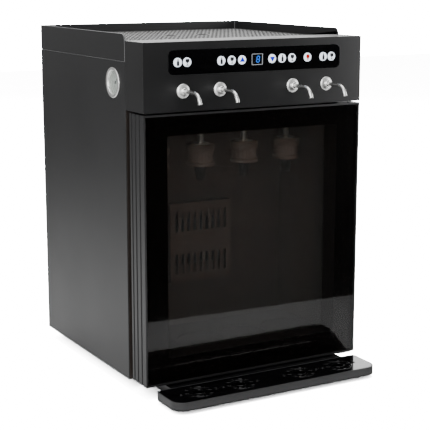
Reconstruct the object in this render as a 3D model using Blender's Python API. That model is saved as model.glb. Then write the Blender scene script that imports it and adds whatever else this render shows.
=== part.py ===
"""A countertop wine dispenser with a cooled chamber for four bottles, as an assembly of separate solids.

Metres, +Z up. The front faces -Y and +X is to the right of someone standing in front of it. The origin is on
the counter, at the middle of the footprint. "Depth" d means distance behind the front plane of the door and
the hood, and y_at(d) turns it into a Y coordinate.
"""

from math import cos, pi, sin

import bmesh
import bpy
from mathutils import Vector

# --- Driving dimensions -------------------------------------------------------------------------------------

FIT = 0.0003  # gap between pieces that touch
SKIN = 0.0012  # outer sheet steel
SHEET = 0.0015  # inner sheet steel: base plate, shelf, hood, grille
LINER = 0.002  # moulded liner wall

BOTTLE_COUNT = 4
BOTTLE_PITCH = 0.084
BAY_SIDE_MARGIN = 0.005  # from the outer bay to the liner wall
SIDE_WALL = 0.027  # liner, foam and outer sheet together
CAVITY_DEPTH = 0.140
CAVITY_HEIGHT = 0.378
FLOOR_WALL = 0.030
CEILING_WALL = 0.0305
FOAM_BACK = 0.030
MACHINE_DEPTH = 0.1722  # free space behind the foam
HOOD_DEPTH = 0.0635
HOOD_HEIGHT = 0.1065
FOOT_HEIGHT = 0.018
FOOT_RADIUS = 0.015
FOOT_INSET = 0.048  # foot centre from the sides and from the ends of the base
STUD_RADIUS = 0.003

DOOR_LIFT = 0.0045  # door's lower edge above the cabinet's
DOOR_GAP = 0.003  # between the door and the hood
DOOR_THICKNESS = 0.0495
DOOR_RAIL = 0.042  # width of the frame at the sides and at the bottom
DOOR_TOP_RAIL = 0.034
DOOR_RIM = 0.003  # lip around the front pane
GLASS = 0.004
GASKET_INSET = 0.014
GASKET_WIDTH = 0.011
GROOVE_DEPTH = 0.0012
GROOVES = ((0.0125, 0.0165), (0.0265, 0.0305), (0.0395, 0.0435))  # each groove's first and last depth
INNER_REBATE = 0.008

HINGE_FROM_SIDE = 0.012
HINGE_FROM_FRONT = 0.014
HINGE_PIN_RADIUS = 0.003
HINGE_HOLE_RADIUS = HINGE_PIN_RADIUS + FIT
HINGE_PIN_REACH = 0.012
HINGE_PLATE = 0.003

GALLERY_WALL = 0.002
GALLERY_RISE = 0.0105  # above the hood
GALLERY_DROP = 0.0325  # below the top of the hood
GALLERY_CORNER = 0.010
LEDGE_WIDTH = 0.012
DECK_DROP = 0.0045  # deck below the top of the hood
FINGER_HOLE_HALF_PITCH = 0.0315
FINGER_HOLE_RADIUS = 0.0075

PANEL_LENGTH = 0.315
PANEL_HEIGHT = 0.0375
PANEL_CORNER = 0.0085
PANEL_THICKNESS = 0.002
PANEL_PROUD = 0.0005
PANEL_BELOW_TOP = 0.0313  # panel's middle below the top of the hood
KEY_RADIUS = 0.0072
KEY_CLEARANCE = 0.0003
KEY_THICKNESS = 0.0035
KEY_PROUD = 0.0012
KEY_GAP = 0.0043  # between two keys of an inner group
KEY_PAIR_GAP = 0.0018  # between the two keys of an outer pair
OUTER_PAIR = 0.1331  # middle of an outer pair
LIGHT_KEY = 0.0948
DISPLAY_TO_KEY = 0.0101
DISPLAY_WIDTH = 0.0207
DISPLAY_HEIGHT = 0.018
BOARD_THICKNESS = 0.0016
BOARD_BACK = 0.010  # board's face behind the front plane
BOARD_HEIGHT = 0.050
SWITCH_SIDE = 0.006
SWITCH_HEIGHT = 0.004

SPOUT_INNER = 0.067  # from the middle plane
SPOUT_OUTER = 0.132
SPOUT_BELOW_TOP = 0.0752
SPOUT_FLANGE_RADIUS = 0.0112
SPOUT_FLANGE = 0.003
SPOUT_TUBE_RADIUS = 0.003
SPOUT_REACH = 0.053
SPOUT_BEND_RADIUS = 0.017
SPOUT_BEND_ANGLE = 68 * pi / 180
SPOUT_INSIDE = 0.012

GAUGE_DEPTH = 0.108
GAUGE_BELOW_TOP = 0.0675
GAUGE_LENS_RADIUS = 0.0185
GAUGE_CASE_RADIUS = GAUGE_LENS_RADIUS + 0.002
GAUGE_BEZEL_RADIUS = GAUGE_CASE_RADIUS + 0.0037
GAUGE_BEZEL = 0.0016
GAUGE_LENS_PROUD = 0.0008
GAUGE_CASE_DEPTH = 0.024

TRAY_REACH = 0.0835
TRAY_FRONT_GAP = 0.013  # between the pan and the door's front plane
TRAY_INSET = 0.010
TRAY_HEIGHT = 0.0144
TRAY_UNDER_DOOR = 0.0018
TRAY_CORNER = 0.021
TRAY_WALL = 0.002
TRAY_LEDGE = 0.0022  # carries the cover inside the wall
TRAY_FLOOR = 0.0020
COVER_THICKNESS = 0.0024
NECK_FROM_SIDE = 0.036
NECK_END = HOOD_DEPTH - 0.0035  # just short of the cabinet
DRAIN_INNER = 0.057  # from the middle plane
DRAIN_OUTER = 0.133
DRAIN_RADIUS = 0.009
DRAIN_DOT_RADIUS = 0.0025
DRAIN_DOT_REACH = 0.0315  # from the middle of a drain to the small hole on each side of it
DRAIN_SLOT_RING = 0.0205
DRAIN_SLOT_HALF_WIDTH = 0.0024
DRAIN_SLOTS = 8
ARM_WIDTH = 0.230  # the arm runs between two guides under the base plate
ARM_THICKNESS = 0.0070
ARM_REACH = 0.110
GUIDE_GAP = 0.0006  # between the arm and its guides
GUIDE_LIP = 0.010

HEAD_RADIUS = 0.0235
HEAD_HEIGHT = 0.036
HEAD_ABOVE_FLOOR = 0.303  # where the mouth of a 300 mm bottle ends
HEAD_ROD_RADIUS = 0.005
HEAD_DEPTH = 0.110
RAIL_HEIGHT = 0.010
RAIL_DEPTH = 0.040
ROD_HOLE_RADIUS = HEAD_ROD_RADIUS + 0.001

DUCT_WIDTH = 0.120
DUCT_HEIGHT = 0.140
DUCT_DEPTH = 0.018
DUCT_ABOVE_FLOOR = 0.085
COLD_SINK_SIDE = 0.080
SINK_SIDE = 0.100
SINK_DEPTH = 0.038
SINK_FINS = 11
FAN_SIDE = 0.092
FAN_DEPTH = 0.025
FAN_DUCT_RADIUS = FAN_SIDE / 2 - 0.0025
FAN_TIP_GAP = 0.0015
FAN_HUB_RADIUS = 0.018
FAN_BLADES = 7
FITTING_REACH = 0.016  # gas fitting behind the rear panel

# --- Derived frame ------------------------------------------------------------------------------------------

CAVITY_WIDTH = BOTTLE_COUNT * BOTTLE_PITCH + 2 * BAY_SIDE_MARGIN
WIDTH = CAVITY_WIDTH + 2 * SIDE_WALL
HALF = WIDTH / 2
INSIDE = HALF - SKIN - FIT  # what stands between the two side panels
CABINET_BACK = HOOD_DEPTH + CAVITY_DEPTH + LINER + FIT + FOAM_BACK + MACHINE_DEPTH + 2 * SKIN
FRONT_Y = (TRAY_REACH - CABINET_BACK - FITTING_REACH) / 2

FLOOR_Z = FOOT_HEIGHT + FLOOR_WALL
CEILING_Z = FLOOR_Z + CAVITY_HEIGHT
HOOD_Z = CEILING_Z + CEILING_WALL
HOOD_TOP = HOOD_Z + HOOD_HEIGHT
DOOR_Z = FOOT_HEIGHT + DOOR_LIFT
DOOR_TOP = HOOD_Z - DOOR_GAP
SEAM_Z = HOOD_TOP - GALLERY_DROP
DECK_TOP = HOOD_TOP - DECK_DROP
LEDGE_TOP = DECK_TOP - SHEET - FIT
SHELF_TOP = HOOD_Z + SHEET
BASE_TOP = FOOT_HEIGHT + SHEET
FOAM_END = HOOD_DEPTH + CAVITY_DEPTH + LINER + FIT + FOAM_BACK
REAR_INSIDE = CABINET_BACK - SKIN - FIT
HEAD_Z = FLOOR_Z + HEAD_ABOVE_FLOOR
TRAY_TOP = DOOR_Z - TRAY_UNDER_DOOR
TRAY_Z = TRAY_TOP - TRAY_HEIGHT
PANEL_Z = HOOD_TOP - PANEL_BELOW_TOP
SPOUT_Z = HOOD_TOP - SPOUT_BELOW_TOP
GAUGE_Z = HOOD_TOP - GAUGE_BELOW_TOP
FAN_Z = FLOOR_Z + DUCT_ABOVE_FLOOR + DUCT_HEIGHT / 2
HINGE_X = HALF - HINGE_FROM_SIDE
BAYS = [(i - (BOTTLE_COUNT - 1) / 2) * BOTTLE_PITCH for i in range(BOTTLE_COUNT)]
SPOUTS = (-SPOUT_OUTER, -SPOUT_INNER, SPOUT_INNER, SPOUT_OUTER)
DRAINS = (-DRAIN_OUTER, -DRAIN_INNER, DRAIN_INNER, DRAIN_OUTER)
PAIR_HALF = KEY_RADIUS + KEY_PAIR_GAP / 2
ARROW_KEY = DISPLAY_WIDTH / 2 + DISPLAY_TO_KEY + KEY_RADIUS
KEY_PITCH = 2 * KEY_RADIUS + KEY_GAP
KEYS = {
    "bottle_key_1": -OUTER_PAIR - PAIR_HALF,
    "glass_key_1": -OUTER_PAIR + PAIR_HALF,
    "bottle_key_2": -ARROW_KEY - 2 * KEY_PITCH,
    "glass_key_2": -ARROW_KEY - KEY_PITCH,
    "up_key": -ARROW_KEY,
    "down_key": ARROW_KEY,
    "bottle_key_3": ARROW_KEY + KEY_PITCH,
    "glass_key_3": ARROW_KEY + 2 * KEY_PITCH,
    "light_key": LIGHT_KEY,
    "bottle_key_4": OUTER_PAIR - PAIR_HALF,
    "glass_key_4": OUTER_PAIR + PAIR_HALF,
}


def y_at(depth):
    """The Y coordinate of a depth behind the front plane."""
    return FRONT_Y + depth


# --- Materials ----------------------------------------------------------------------------------------------

FINISHES = {  # colour, roughness, metallic
    "black_paint": ((0.030, 0.030, 0.031), 0.45, 0.0),
    "gloss_black": ((0.004, 0.004, 0.005), 0.08, 0.0),
    "black_plastic": ((0.015, 0.015, 0.016), 0.55, 0.0),
    "dark_liner": ((0.022, 0.020, 0.019), 0.50, 0.0),
    "tinted_glass": ((0.020, 0.018, 0.017), 0.03, 0.0),
    "clear_glass": ((0.850, 0.880, 0.870), 0.03, 0.0),
    "chrome": ((0.800, 0.800, 0.790), 0.08, 1.0),
    "steel_deck": ((0.350, 0.350, 0.340), 0.35, 1.0),
    "aluminium": ((0.600, 0.610, 0.620), 0.35, 1.0),
    "rubber": ((0.012, 0.012, 0.012), 0.80, 0.0),
    "grey_plastic": ((0.180, 0.175, 0.170), 0.45, 0.0),
    "white_key": ((0.850, 0.880, 0.900), 0.30, 0.0),
    "dial_white": ((0.880, 0.880, 0.860), 0.50, 0.0),
    "red_paint": ((0.500, 0.020, 0.015), 0.40, 0.0),
    "board_green": ((0.020, 0.120, 0.050), 0.50, 0.0),
    "foam": ((0.780, 0.640, 0.350), 0.90, 0.0),
    "blue_display": ((0.010, 0.030, 0.120), 0.15, 0.0),
    "light_diffuser": ((0.900, 0.880, 0.820), 0.40, 0.0),
}


def finish(name):
    """The material of that name, made the first time it is asked for."""
    made = bpy.data.materials.get(name)
    if made:
        return made
    colour, roughness, metallic = FINISHES[name]
    made = bpy.data.materials.new(name)
    made.use_nodes = True
    shader = made.node_tree.nodes["Principled BSDF"]
    shader.inputs["Base Color"].default_value = (*colour, 1.0)
    shader.inputs["Roughness"].default_value = roughness
    shader.inputs["Metallic"].default_value = metallic
    return made


# --- Shape tools --------------------------------------------------------------------------------------------


def add_object(name, bm, finish_name, origin=(0, 0, 0)):
    """An object from a bmesh in world coordinates, with its origin where asked."""
    bmesh.ops.recalc_face_normals(bm, faces=bm.faces)
    bmesh.ops.translate(bm, verts=bm.verts, vec=-Vector(origin))
    mesh = bpy.data.meshes.new(name)
    bm.to_mesh(mesh)
    bm.free()
    mesh.materials.append(finish(finish_name))
    obj = bpy.data.objects.new(name, mesh)
    obj.location = origin
    bpy.context.scene.collection.objects.link(obj)
    return obj


def fill_box(bm, low, high):
    """Adds a box between two corners to a bmesh."""
    made = bmesh.ops.create_cube(bm, size=1.0)["verts"]
    low, high = Vector(low), Vector(high)
    for vert in made:
        vert.co = Vector(low[k] + (vert.co[k] + 0.5) * (high[k] - low[k]) for k in range(3))


def box(name, low, high, finish_name, origin=(0, 0, 0)):
    bm = bmesh.new()
    fill_box(bm, low, high)
    return add_object(name, bm, finish_name, origin)


def boxes(name, corners, finish_name="black_plastic"):
    """Several boxes that don't touch, as one object. Used as a cutter."""
    bm = bmesh.new()
    for low, high in corners:
        fill_box(bm, low, high)
    return add_object(name, bm, finish_name)


AXES = {
    "x": lambda u, v, w: (w, u, v),
    "y": lambda u, v, w: (u, w, v),
    "z": lambda u, v, w: (u, v, w),
}


def fill_prism(bm, outline, axis, low, high):
    """Adds an outline, extruded along an axis. The outline is in the other two axes, in XYZ order."""
    at = AXES[axis]
    first = [bm.verts.new(at(u, v, low)) for u, v in outline]
    last = [bm.verts.new(at(u, v, high)) for u, v in outline]
    bm.faces.new(first)
    bm.faces.new(last)
    for i in range(len(outline)):
        j = (i + 1) % len(outline)
        bm.faces.new((first[i], first[j], last[j], last[i]))


def prism(name, outline, axis, low, high, finish_name, origin=(0, 0, 0)):
    bm = bmesh.new()
    fill_prism(bm, outline, axis, low, high)
    return add_object(name, bm, finish_name, origin)


def circle(u, v, radius, steps=24):
    angles = [2 * pi * i / steps for i in range(steps)]
    return [(u + radius * cos(a), v + radius * sin(a)) for a in angles]


def discs(name, centres, radius, axis, low, high, steps=20):
    """Several round bars that don't touch, as one object. Used as a cutter."""
    bm = bmesh.new()
    for u, v in centres:
        fill_prism(bm, circle(u, v, radius, steps), axis, low, high)
    return add_object(name, bm, "black_plastic")


def rounded_rectangle(low, high, radii, steps=6):
    """Outline between two corners. radii go from the low corner, anticlockwise."""
    (u0, v0), (u1, v1) = low, high
    middles = (
        (u0 + radii[0], v0 + radii[0], pi),
        (u1 - radii[1], v0 + radii[1], 1.5 * pi),
        (u1 - radii[2], v1 - radii[2], 0.0),
        (u0 + radii[3], v1 - radii[3], 0.5 * pi),
    )
    outline = []
    for (u, v, start), radius in zip(middles, radii):
        if radius == 0:
            outline.append((u, v))
            continue
        for i in range(steps + 1):
            angle = start + 0.5 * pi * i / steps
            outline.append((u + radius * cos(angle), v + radius * sin(angle)))
    return outline


def arc_slot(u, v, ring, half_width, middle, half_angle, steps=4):
    """Outline of a slot that follows a ring round (u, v)."""
    angles = [middle - half_angle + 2 * half_angle * i / steps for i in range(steps + 1)]
    outer = [(u + (ring + half_width) * cos(a), v + (ring + half_width) * sin(a)) for a in angles]
    inner = [(u + (ring - half_width) * cos(a), v + (ring - half_width) * sin(a)) for a in reversed(angles)]
    return outer + inner


def fill_turned(bm, profile, centre, axis, steps):
    """Adds a turned shape. profile is (radius, height) from one end on the axis to the other."""
    at = AXES[axis]
    x, y, z = centre
    cu, cv, cw = {"x": (y, z, x), "y": (x, z, y), "z": (x, y, z)}[axis]
    rings = []
    for radius, height in profile:
        if radius == 0:
            rings.append([bm.verts.new(at(cu, cv, cw + height))])
            continue
        rings.append([bm.verts.new(at(u, v, cw + height)) for u, v in circle(cu, cv, radius, steps)])
    for low, high in zip(rings, rings[1:]):
        for i in range(steps):
            j = (i + 1) % steps
            face = [low[i], low[j % len(low)]] if len(low) > 1 else [low[0]]
            face += [high[j], high[i]] if len(high) > 1 else [high[0]]
            bm.faces.new(face)


def turned(name, profile, centre, axis, finish_name, steps=24, origin=None):
    bm = bmesh.new()
    fill_turned(bm, profile, centre, axis, steps)
    return add_object(name, bm, finish_name, centre if origin is None else origin)


def fill_tube(bm, path, radius, steps):
    """Adds a round bar along a path that lies in a plane of constant X."""
    rings = []
    for i, point in enumerate(path):
        ahead = (path[min(i + 1, len(path) - 1)] - path[max(i - 1, 0)]).normalized()
        side = Vector((1, 0, 0))
        up = side.cross(ahead)
        ring = [point + radius * (side * u + up * v) for u, v in circle(0, 0, 1, steps)]
        rings.append([bm.verts.new(co) for co in ring])
    for low, high in zip(rings, rings[1:]):
        for i in range(steps):
            j = (i + 1) % steps
            bm.faces.new((low[i], low[j], high[j], high[i]))
    bm.faces.new(rings[0])
    bm.faces.new(rings[-1])


def combine(target, other, operation):
    """Adds a Boolean to target. The other object stays in the file as a hidden guide."""
    modifier = target.modifiers.new(other.name, "BOOLEAN")
    modifier.operation = operation
    modifier.solver = "EXACT"
    modifier.object = other
    other.hide_render = True
    other.display_type = "WIRE"
    return target


def cut(target, other):
    return combine(target, other, "DIFFERENCE")


def join(target, other):
    return combine(target, other, "UNION")


def smooth(obj, angle=0.6):
    obj.data.shade_smooth()
    obj.data.set_sharp_from_angle(angle=angle)
    return obj


def pivot(name, location):
    """An empty on a joint's axis, which carries the pieces that move with it."""
    empty = bpy.data.objects.new(name, None)
    empty.location = location
    empty.empty_display_size = 0.03
    bpy.context.scene.collection.objects.link(empty)
    return empty


def hang_on(empty, *pieces):
    """Parents pieces to an empty without moving them."""
    for piece in pieces:
        piece.parent = empty
        piece.location = Vector(piece.location) - Vector(empty.location)


# --- Outer case ---------------------------------------------------------------------------------------------


def foot_centres():
    x = HALF - FOOT_INSET
    front, rear = y_at(HOOD_DEPTH + FOOT_INSET), y_at(CABINET_BACK - FOOT_INSET)
    return {
        "front_left": (-x, front),
        "front_right": (x, front),
        "rear_left": (-x, rear),
        "rear_right": (x, rear),
    }


def make_feet():
    """Rubber feet, each with a stud that stands through the base plate."""
    top = FOOT_HEIGHT - FIT
    for name, (x, y) in foot_centres().items():
        profile = (
            (0, 0),
            (FOOT_RADIUS - 0.001, 0),
            (FOOT_RADIUS, 0.001),
            (FOOT_RADIUS - 0.002, top),
            (STUD_RADIUS, top),
            (STUD_RADIUS, BASE_TOP + 0.004),
            (0, BASE_TOP + 0.004),
        )
        smooth(turned(f"foot_{name}", profile, (x, y, 0), "z", "rubber"))


def tray_guide(side):
    """An L-shaped rail under the base plate, which carries one edge of the drip tray's arm."""
    wall, lip = side * (ARM_WIDTH / 2 + GUIDE_GAP), side * (ARM_WIDTH / 2 - GUIDE_LIP)
    outer = wall + side * SHEET
    shelf = TRAY_Z - GUIDE_GAP
    top = FOOT_HEIGHT + SHEET / 2
    outline = [(lip, shelf - SHEET), (outer, shelf - SHEET), (outer, top)]
    outline += [(wall, top), (wall, shelf), (lip, shelf)]
    start, end = y_at(HOOD_DEPTH + 0.010), y_at(HOOD_DEPTH + ARM_REACH + 0.020)
    return prism("add_left_guide" if side < 0 else "add_right_guide", outline, "y", start, end, "black_paint")


def make_base_plate():
    front = y_at(HOOD_DEPTH + LINER + FIT)
    rear = y_at(REAR_INSIDE - SKIN - FIT)
    plate = box("base_plate", (-INSIDE, front, FOOT_HEIGHT), (INSIDE, rear, BASE_TOP), "black_paint")
    studs = list(foot_centres().values())
    for side in (-1, 1):
        join(plate, tray_guide(side))
    cut(plate, discs("cut_studs", studs, STUD_RADIUS + 0.0005, "z", 0, BASE_TOP + 0.01))


def make_side_panels():
    """A sheet on each side, folded inwards at the rear, where the rear panel is fixed to it."""
    fold = 0.012
    front, rear = y_at(HOOD_DEPTH), y_at(REAR_INSIDE)
    for side, name in ((-1, "left_side_panel"), (1, "right_side_panel")):
        outer, inner, lip = side * HALF, side * (HALF - SKIN), side * (HALF - fold)
        outline = [(outer, front), (inner, front), (inner, rear - SKIN)]
        outline += [(lip, rear - SKIN), (lip, rear), (outer, rear)]
        low = FOOT_HEIGHT
        panel = prism(name, outline, "z", low, SEAM_Z - FIT, "black_paint")
        if side < 0:
            hole = circle(y_at(GAUGE_DEPTH), GAUGE_Z, GAUGE_CASE_RADIUS + 0.0005)
            cut(panel, prism("cut_gauge", hole, "x", -HALF - 0.01, -HALF + 0.01, "black_plastic"))


def make_rear_panel():
    """The rear sheet, with slots behind the fan, a row of intake slots, and cut-outs for power and gas."""
    low, high = (-HALF, y_at(CABINET_BACK - SKIN), FOOT_HEIGHT), (HALF, y_at(CABINET_BACK), SEAM_Z - FIT)
    panel = box("rear_panel", low, high, "black_paint")
    slot, pitch = 0.003, 0.012
    y0, y1 = low[1] - 0.01, high[1] + 0.01
    slots = []
    for i in range(-3, 4):
        slots.append(((i * pitch - slot, y0, FAN_Z - 0.040), (i * pitch + slot, y1, FAN_Z + 0.040)))
        slots.append(((i * pitch - slot, y0, SHELF_TOP + 0.012), (i * pitch + slot, y1, SHELF_TOP + 0.042)))
    inlet = inlet_box(FIT)
    slots.append(((inlet[0][0], y0, inlet[0][2]), (inlet[1][0], y1, inlet[1][2])))
    cut(panel, boxes("cut_vents", slots))
    cut(panel, discs("cut_gas", [gas_centre()], 0.0053, "y", y0, y1))


def make_gallery_rail():
    """The raised rail round the top on three sides, with the ledge that carries the deck."""
    front, rear, top = y_at(HOOD_DEPTH), y_at(CABINET_BACK), HOOD_TOP + GALLERY_RISE
    side = rounded_rectangle((front, SEAM_Z), (rear, top), (0, 0, 0, GALLERY_CORNER))
    rail = prism("gallery_rail", side, "x", -HALF, -HALF + GALLERY_WALL, "black_paint")
    join(rail, prism("add_right_wall", side, "x", HALF - GALLERY_WALL, HALF, "black_paint"))
    join(rail, box("add_back_wall", (-HALF, rear - GALLERY_WALL, SEAM_Z), (HALF, rear, top), "black_paint"))
    overlap = HALF - GALLERY_WALL / 2
    ledge = box(
        "add_ledge",
        (-overlap, front + FIT, LEDGE_TOP - SHEET),
        (overlap, rear - GALLERY_WALL / 2, LEDGE_TOP),
        "black_paint",
    )
    hole_x = HALF - GALLERY_WALL - LEDGE_WIDTH
    window = box(
        "cut_ledge",
        (-hole_x, front + LEDGE_WIDTH, SEAM_Z),
        (hole_x, rear - GALLERY_WALL - LEDGE_WIDTH, top),
        "black_paint",
    )
    join(rail, cut(ledge, window))


def make_top_grille():
    """The deck inside the gallery. It lifts out by two finger holes."""
    gap = 0.001
    x = HALF - GALLERY_WALL - gap
    front, rear = y_at(HOOD_DEPTH) + gap, y_at(CABINET_BACK) - GALLERY_WALL - gap
    middle = (front + rear) / 2
    origin = (0, middle, DECK_TOP)
    grille = box("top_grille", (-x, front, DECK_TOP - SHEET), (x, rear, DECK_TOP), "steel_deck", origin)
    holes = [(-FINGER_HOLE_HALF_PITCH, middle), (FINGER_HOLE_HALF_PITCH, middle)]
    cut(grille, discs("cut_fingers", holes, FINGER_HOLE_RADIUS, "z", DECK_TOP - 0.01, DECK_TOP + 0.01))


# --- Cooled chamber -----------------------------------------------------------------------------------------


def tube_centres():
    """Where the four heads' rods pass up through the ceiling."""
    return [(x, y_at(HEAD_DEPTH)) for x in BAYS]


def make_inner_liner():
    """The moulded tub that the bottles stand in, with the flange that the door closes on."""
    half = CAVITY_WIDTH / 2
    front, back = y_at(HOOD_DEPTH), y_at(HOOD_DEPTH + CAVITY_DEPTH)
    flange = ((-INSIDE, front, FOOT_HEIGHT), (INSIDE, front + LINER, HOOD_Z - FIT))
    liner = box("inner_liner", *flange, "dark_liner")
    low = (-half - LINER, front + LINER / 2, FLOOR_Z - LINER)
    high = (half + LINER, back + LINER, CEILING_Z + LINER)
    join(liner, box("add_tub", low, high, "dark_liner"))
    cut(liner, box("cut_cavity", (-half, front - 0.01, FLOOR_Z), (half, back, CEILING_Z), "dark_liner"))
    cut(liner, discs("cut_liner_rods", tube_centres(), ROD_HOLE_RADIUS, "z", CEILING_Z - 0.01, HOOD_Z, 12))


def make_insulation():
    half = CAVITY_WIDTH / 2 + LINER + FIT
    front, back = y_at(HOOD_DEPTH + LINER + FIT), y_at(FOAM_END)
    foam = box("insulation", (-INSIDE, front, BASE_TOP + FIT), (INSIDE, back, HOOD_Z - FIT), "foam")
    inner = (
        (-half, front - 0.01, FLOOR_Z - LINER - FIT),
        (half, y_at(HOOD_DEPTH + CAVITY_DEPTH) + LINER + FIT, CEILING_Z + LINER + FIT),
    )
    cut(foam, box("cut_foam", *inner, "foam"))
    cut(foam, discs("cut_foam_rods", tube_centres(), ROD_HOLE_RADIUS, "z", CEILING_Z, SHELF_TOP + 0.01, 12))
    studs = list(foot_centres().values())
    cut(foam, discs("cut_foam_studs", studs, STUD_RADIUS + 0.001, "z", 0, BASE_TOP + 0.006, 12))


def make_service_shelf():
    """The sheet above the foam that carries the valves."""
    front = y_at(HOOD_DEPTH) + FIT
    shelf = box("service_shelf", (-INSIDE, front, HOOD_Z), (INSIDE, y_at(FOAM_END), SHELF_TOP), "aluminium")
    cut(shelf, discs("cut_shelf_rods", tube_centres(), ROD_HOLE_RADIUS, "z", CEILING_Z, SHELF_TOP + 0.01, 12))


def make_bottle_mat():
    """A rubber mat with a shallow round seat for each bottle."""
    half = CAVITY_WIDTH / 2 - 0.001
    front, back = y_at(HOOD_DEPTH + 0.004), y_at(HOOD_DEPTH + CAVITY_DEPTH) - 0.001
    thick, seat = 0.004, 0.002
    mat = box("bottle_mat", (-half, front, FLOOR_Z + FIT), (half, back, FLOOR_Z + thick), "rubber")
    floor = FLOOR_Z + thick - seat
    cut(mat, discs("cut_seats", tube_centres(), 0.0395, "z", floor, floor + 0.01, 28))


def make_head_rail():
    """The bar under the ceiling that guides the four heads."""
    y = y_at(HEAD_DEPTH)
    half = BAYS[-1] + HEAD_ROD_RADIUS + 0.028
    top = CEILING_Z - FIT
    low, high = (-half, y - RAIL_DEPTH / 2, top - RAIL_HEIGHT), (half, y + RAIL_DEPTH / 2, top)
    rail = box("head_rail", low, high, "black_plastic")
    guide = HEAD_ROD_RADIUS + 0.0003
    cut(rail, discs("cut_guides", tube_centres(), guide, "z", low[2] - 0.01, top + 0.01, 24))


def make_heads():
    """Spring-loaded dispensing heads. The rubber stopper under each one closes a bottle's mouth."""
    ridge = 0.0009
    rod_top = CEILING_Z + LINER - HEAD_Z
    for number, (x, y) in enumerate(tube_centres(), 1):
        profile = [(0, -0.024), (0.003, -0.024), (0.003, -0.018), (0.0075, -0.018), (0.0098, 0)]
        profile += [(HEAD_RADIUS - 0.002, 0), (HEAD_RADIUS, 0.002)]
        for i in range(1, 4):
            z = HEAD_HEIGHT * i / 4
            profile += [(HEAD_RADIUS, z - 0.003), (HEAD_RADIUS - ridge, z), (HEAD_RADIUS, z + 0.003)]
        profile += [(HEAD_RADIUS, HEAD_HEIGHT - 0.002), (HEAD_RADIUS - 0.002, HEAD_HEIGHT)]
        profile += [(HEAD_ROD_RADIUS, HEAD_HEIGHT), (HEAD_ROD_RADIUS, rod_top), (0, rod_top)]
        smooth(turned(f"dispensing_head_{number}", profile, (x, y, HEAD_Z), "z", "grey_plastic", 20))


def make_light_strip():
    """The lamp along the front of the ceiling."""
    half = CAVITY_WIDTH / 2 - 0.020
    front = y_at(HOOD_DEPTH + 0.010)
    low, high = (-half, front, CEILING_Z - 0.008), (half, front + 0.014, CEILING_Z - FIT)
    box("light_strip", low, high, "light_diffuser")


def make_cooling():
    """The cold sink and its slotted cover in the chamber, and the hot sink and fan behind the foam."""
    back = y_at(HOOD_DEPTH + CAVITY_DEPTH) - FIT
    half, low_z = DUCT_WIDTH / 2, FLOOR_Z + DUCT_ABOVE_FLOOR
    wall = 0.002
    front, high_z = back - DUCT_DEPTH, low_z + DUCT_HEIGHT
    cover = box("duct_cover", (-half, front, low_z), (half, back, high_z), "dark_liner")
    low = (-half + wall, front + wall, low_z + wall)
    high = (half - wall, back + 0.01, high_z - wall)
    cut(cover, box("cut_duct", low, high, "dark_liner"))
    slots = []
    for i in range(-4, 5):
        x0, x1 = i * 0.012 - 0.003, i * 0.012 + 0.003
        for z in (low_z + 0.015, high_z - 0.050):
            slots.append(((x0, front - 0.01, z), (x1, front + 0.01, z + 0.035)))
    cut(cover, boxes("cut_duct_slots", slots))

    make_finned_sink("cold_sink", COLD_SINK_SIDE, 0.0035, back, -0.0125, 9)
    make_finned_sink("hot_sink", SINK_SIDE, 0.006, y_at(FOAM_END) + FIT, SINK_DEPTH, SINK_FINS)


def make_finned_sink(name, side, base, y, reach, fins):
    """A comb-shaped extrusion. Its base is at y and its fins point along Y, as far as reach."""
    direction = 1 if reach > 0 else -1
    pitch = side / (fins - 0.5)
    outline = [(side / 2, y), (-side / 2, y)]
    for i in range(fins):
        left = -side / 2 + i * pitch
        right = left + pitch / 2
        outline += [(left, y + reach), (right, y + reach)]
        if i < fins - 1:
            outline += [(right, y + direction * base), (left + pitch, y + direction * base)]
    prism(name, outline, "z", FAN_Z - side / 2, FAN_Z + side / 2, "aluminium")


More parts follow.
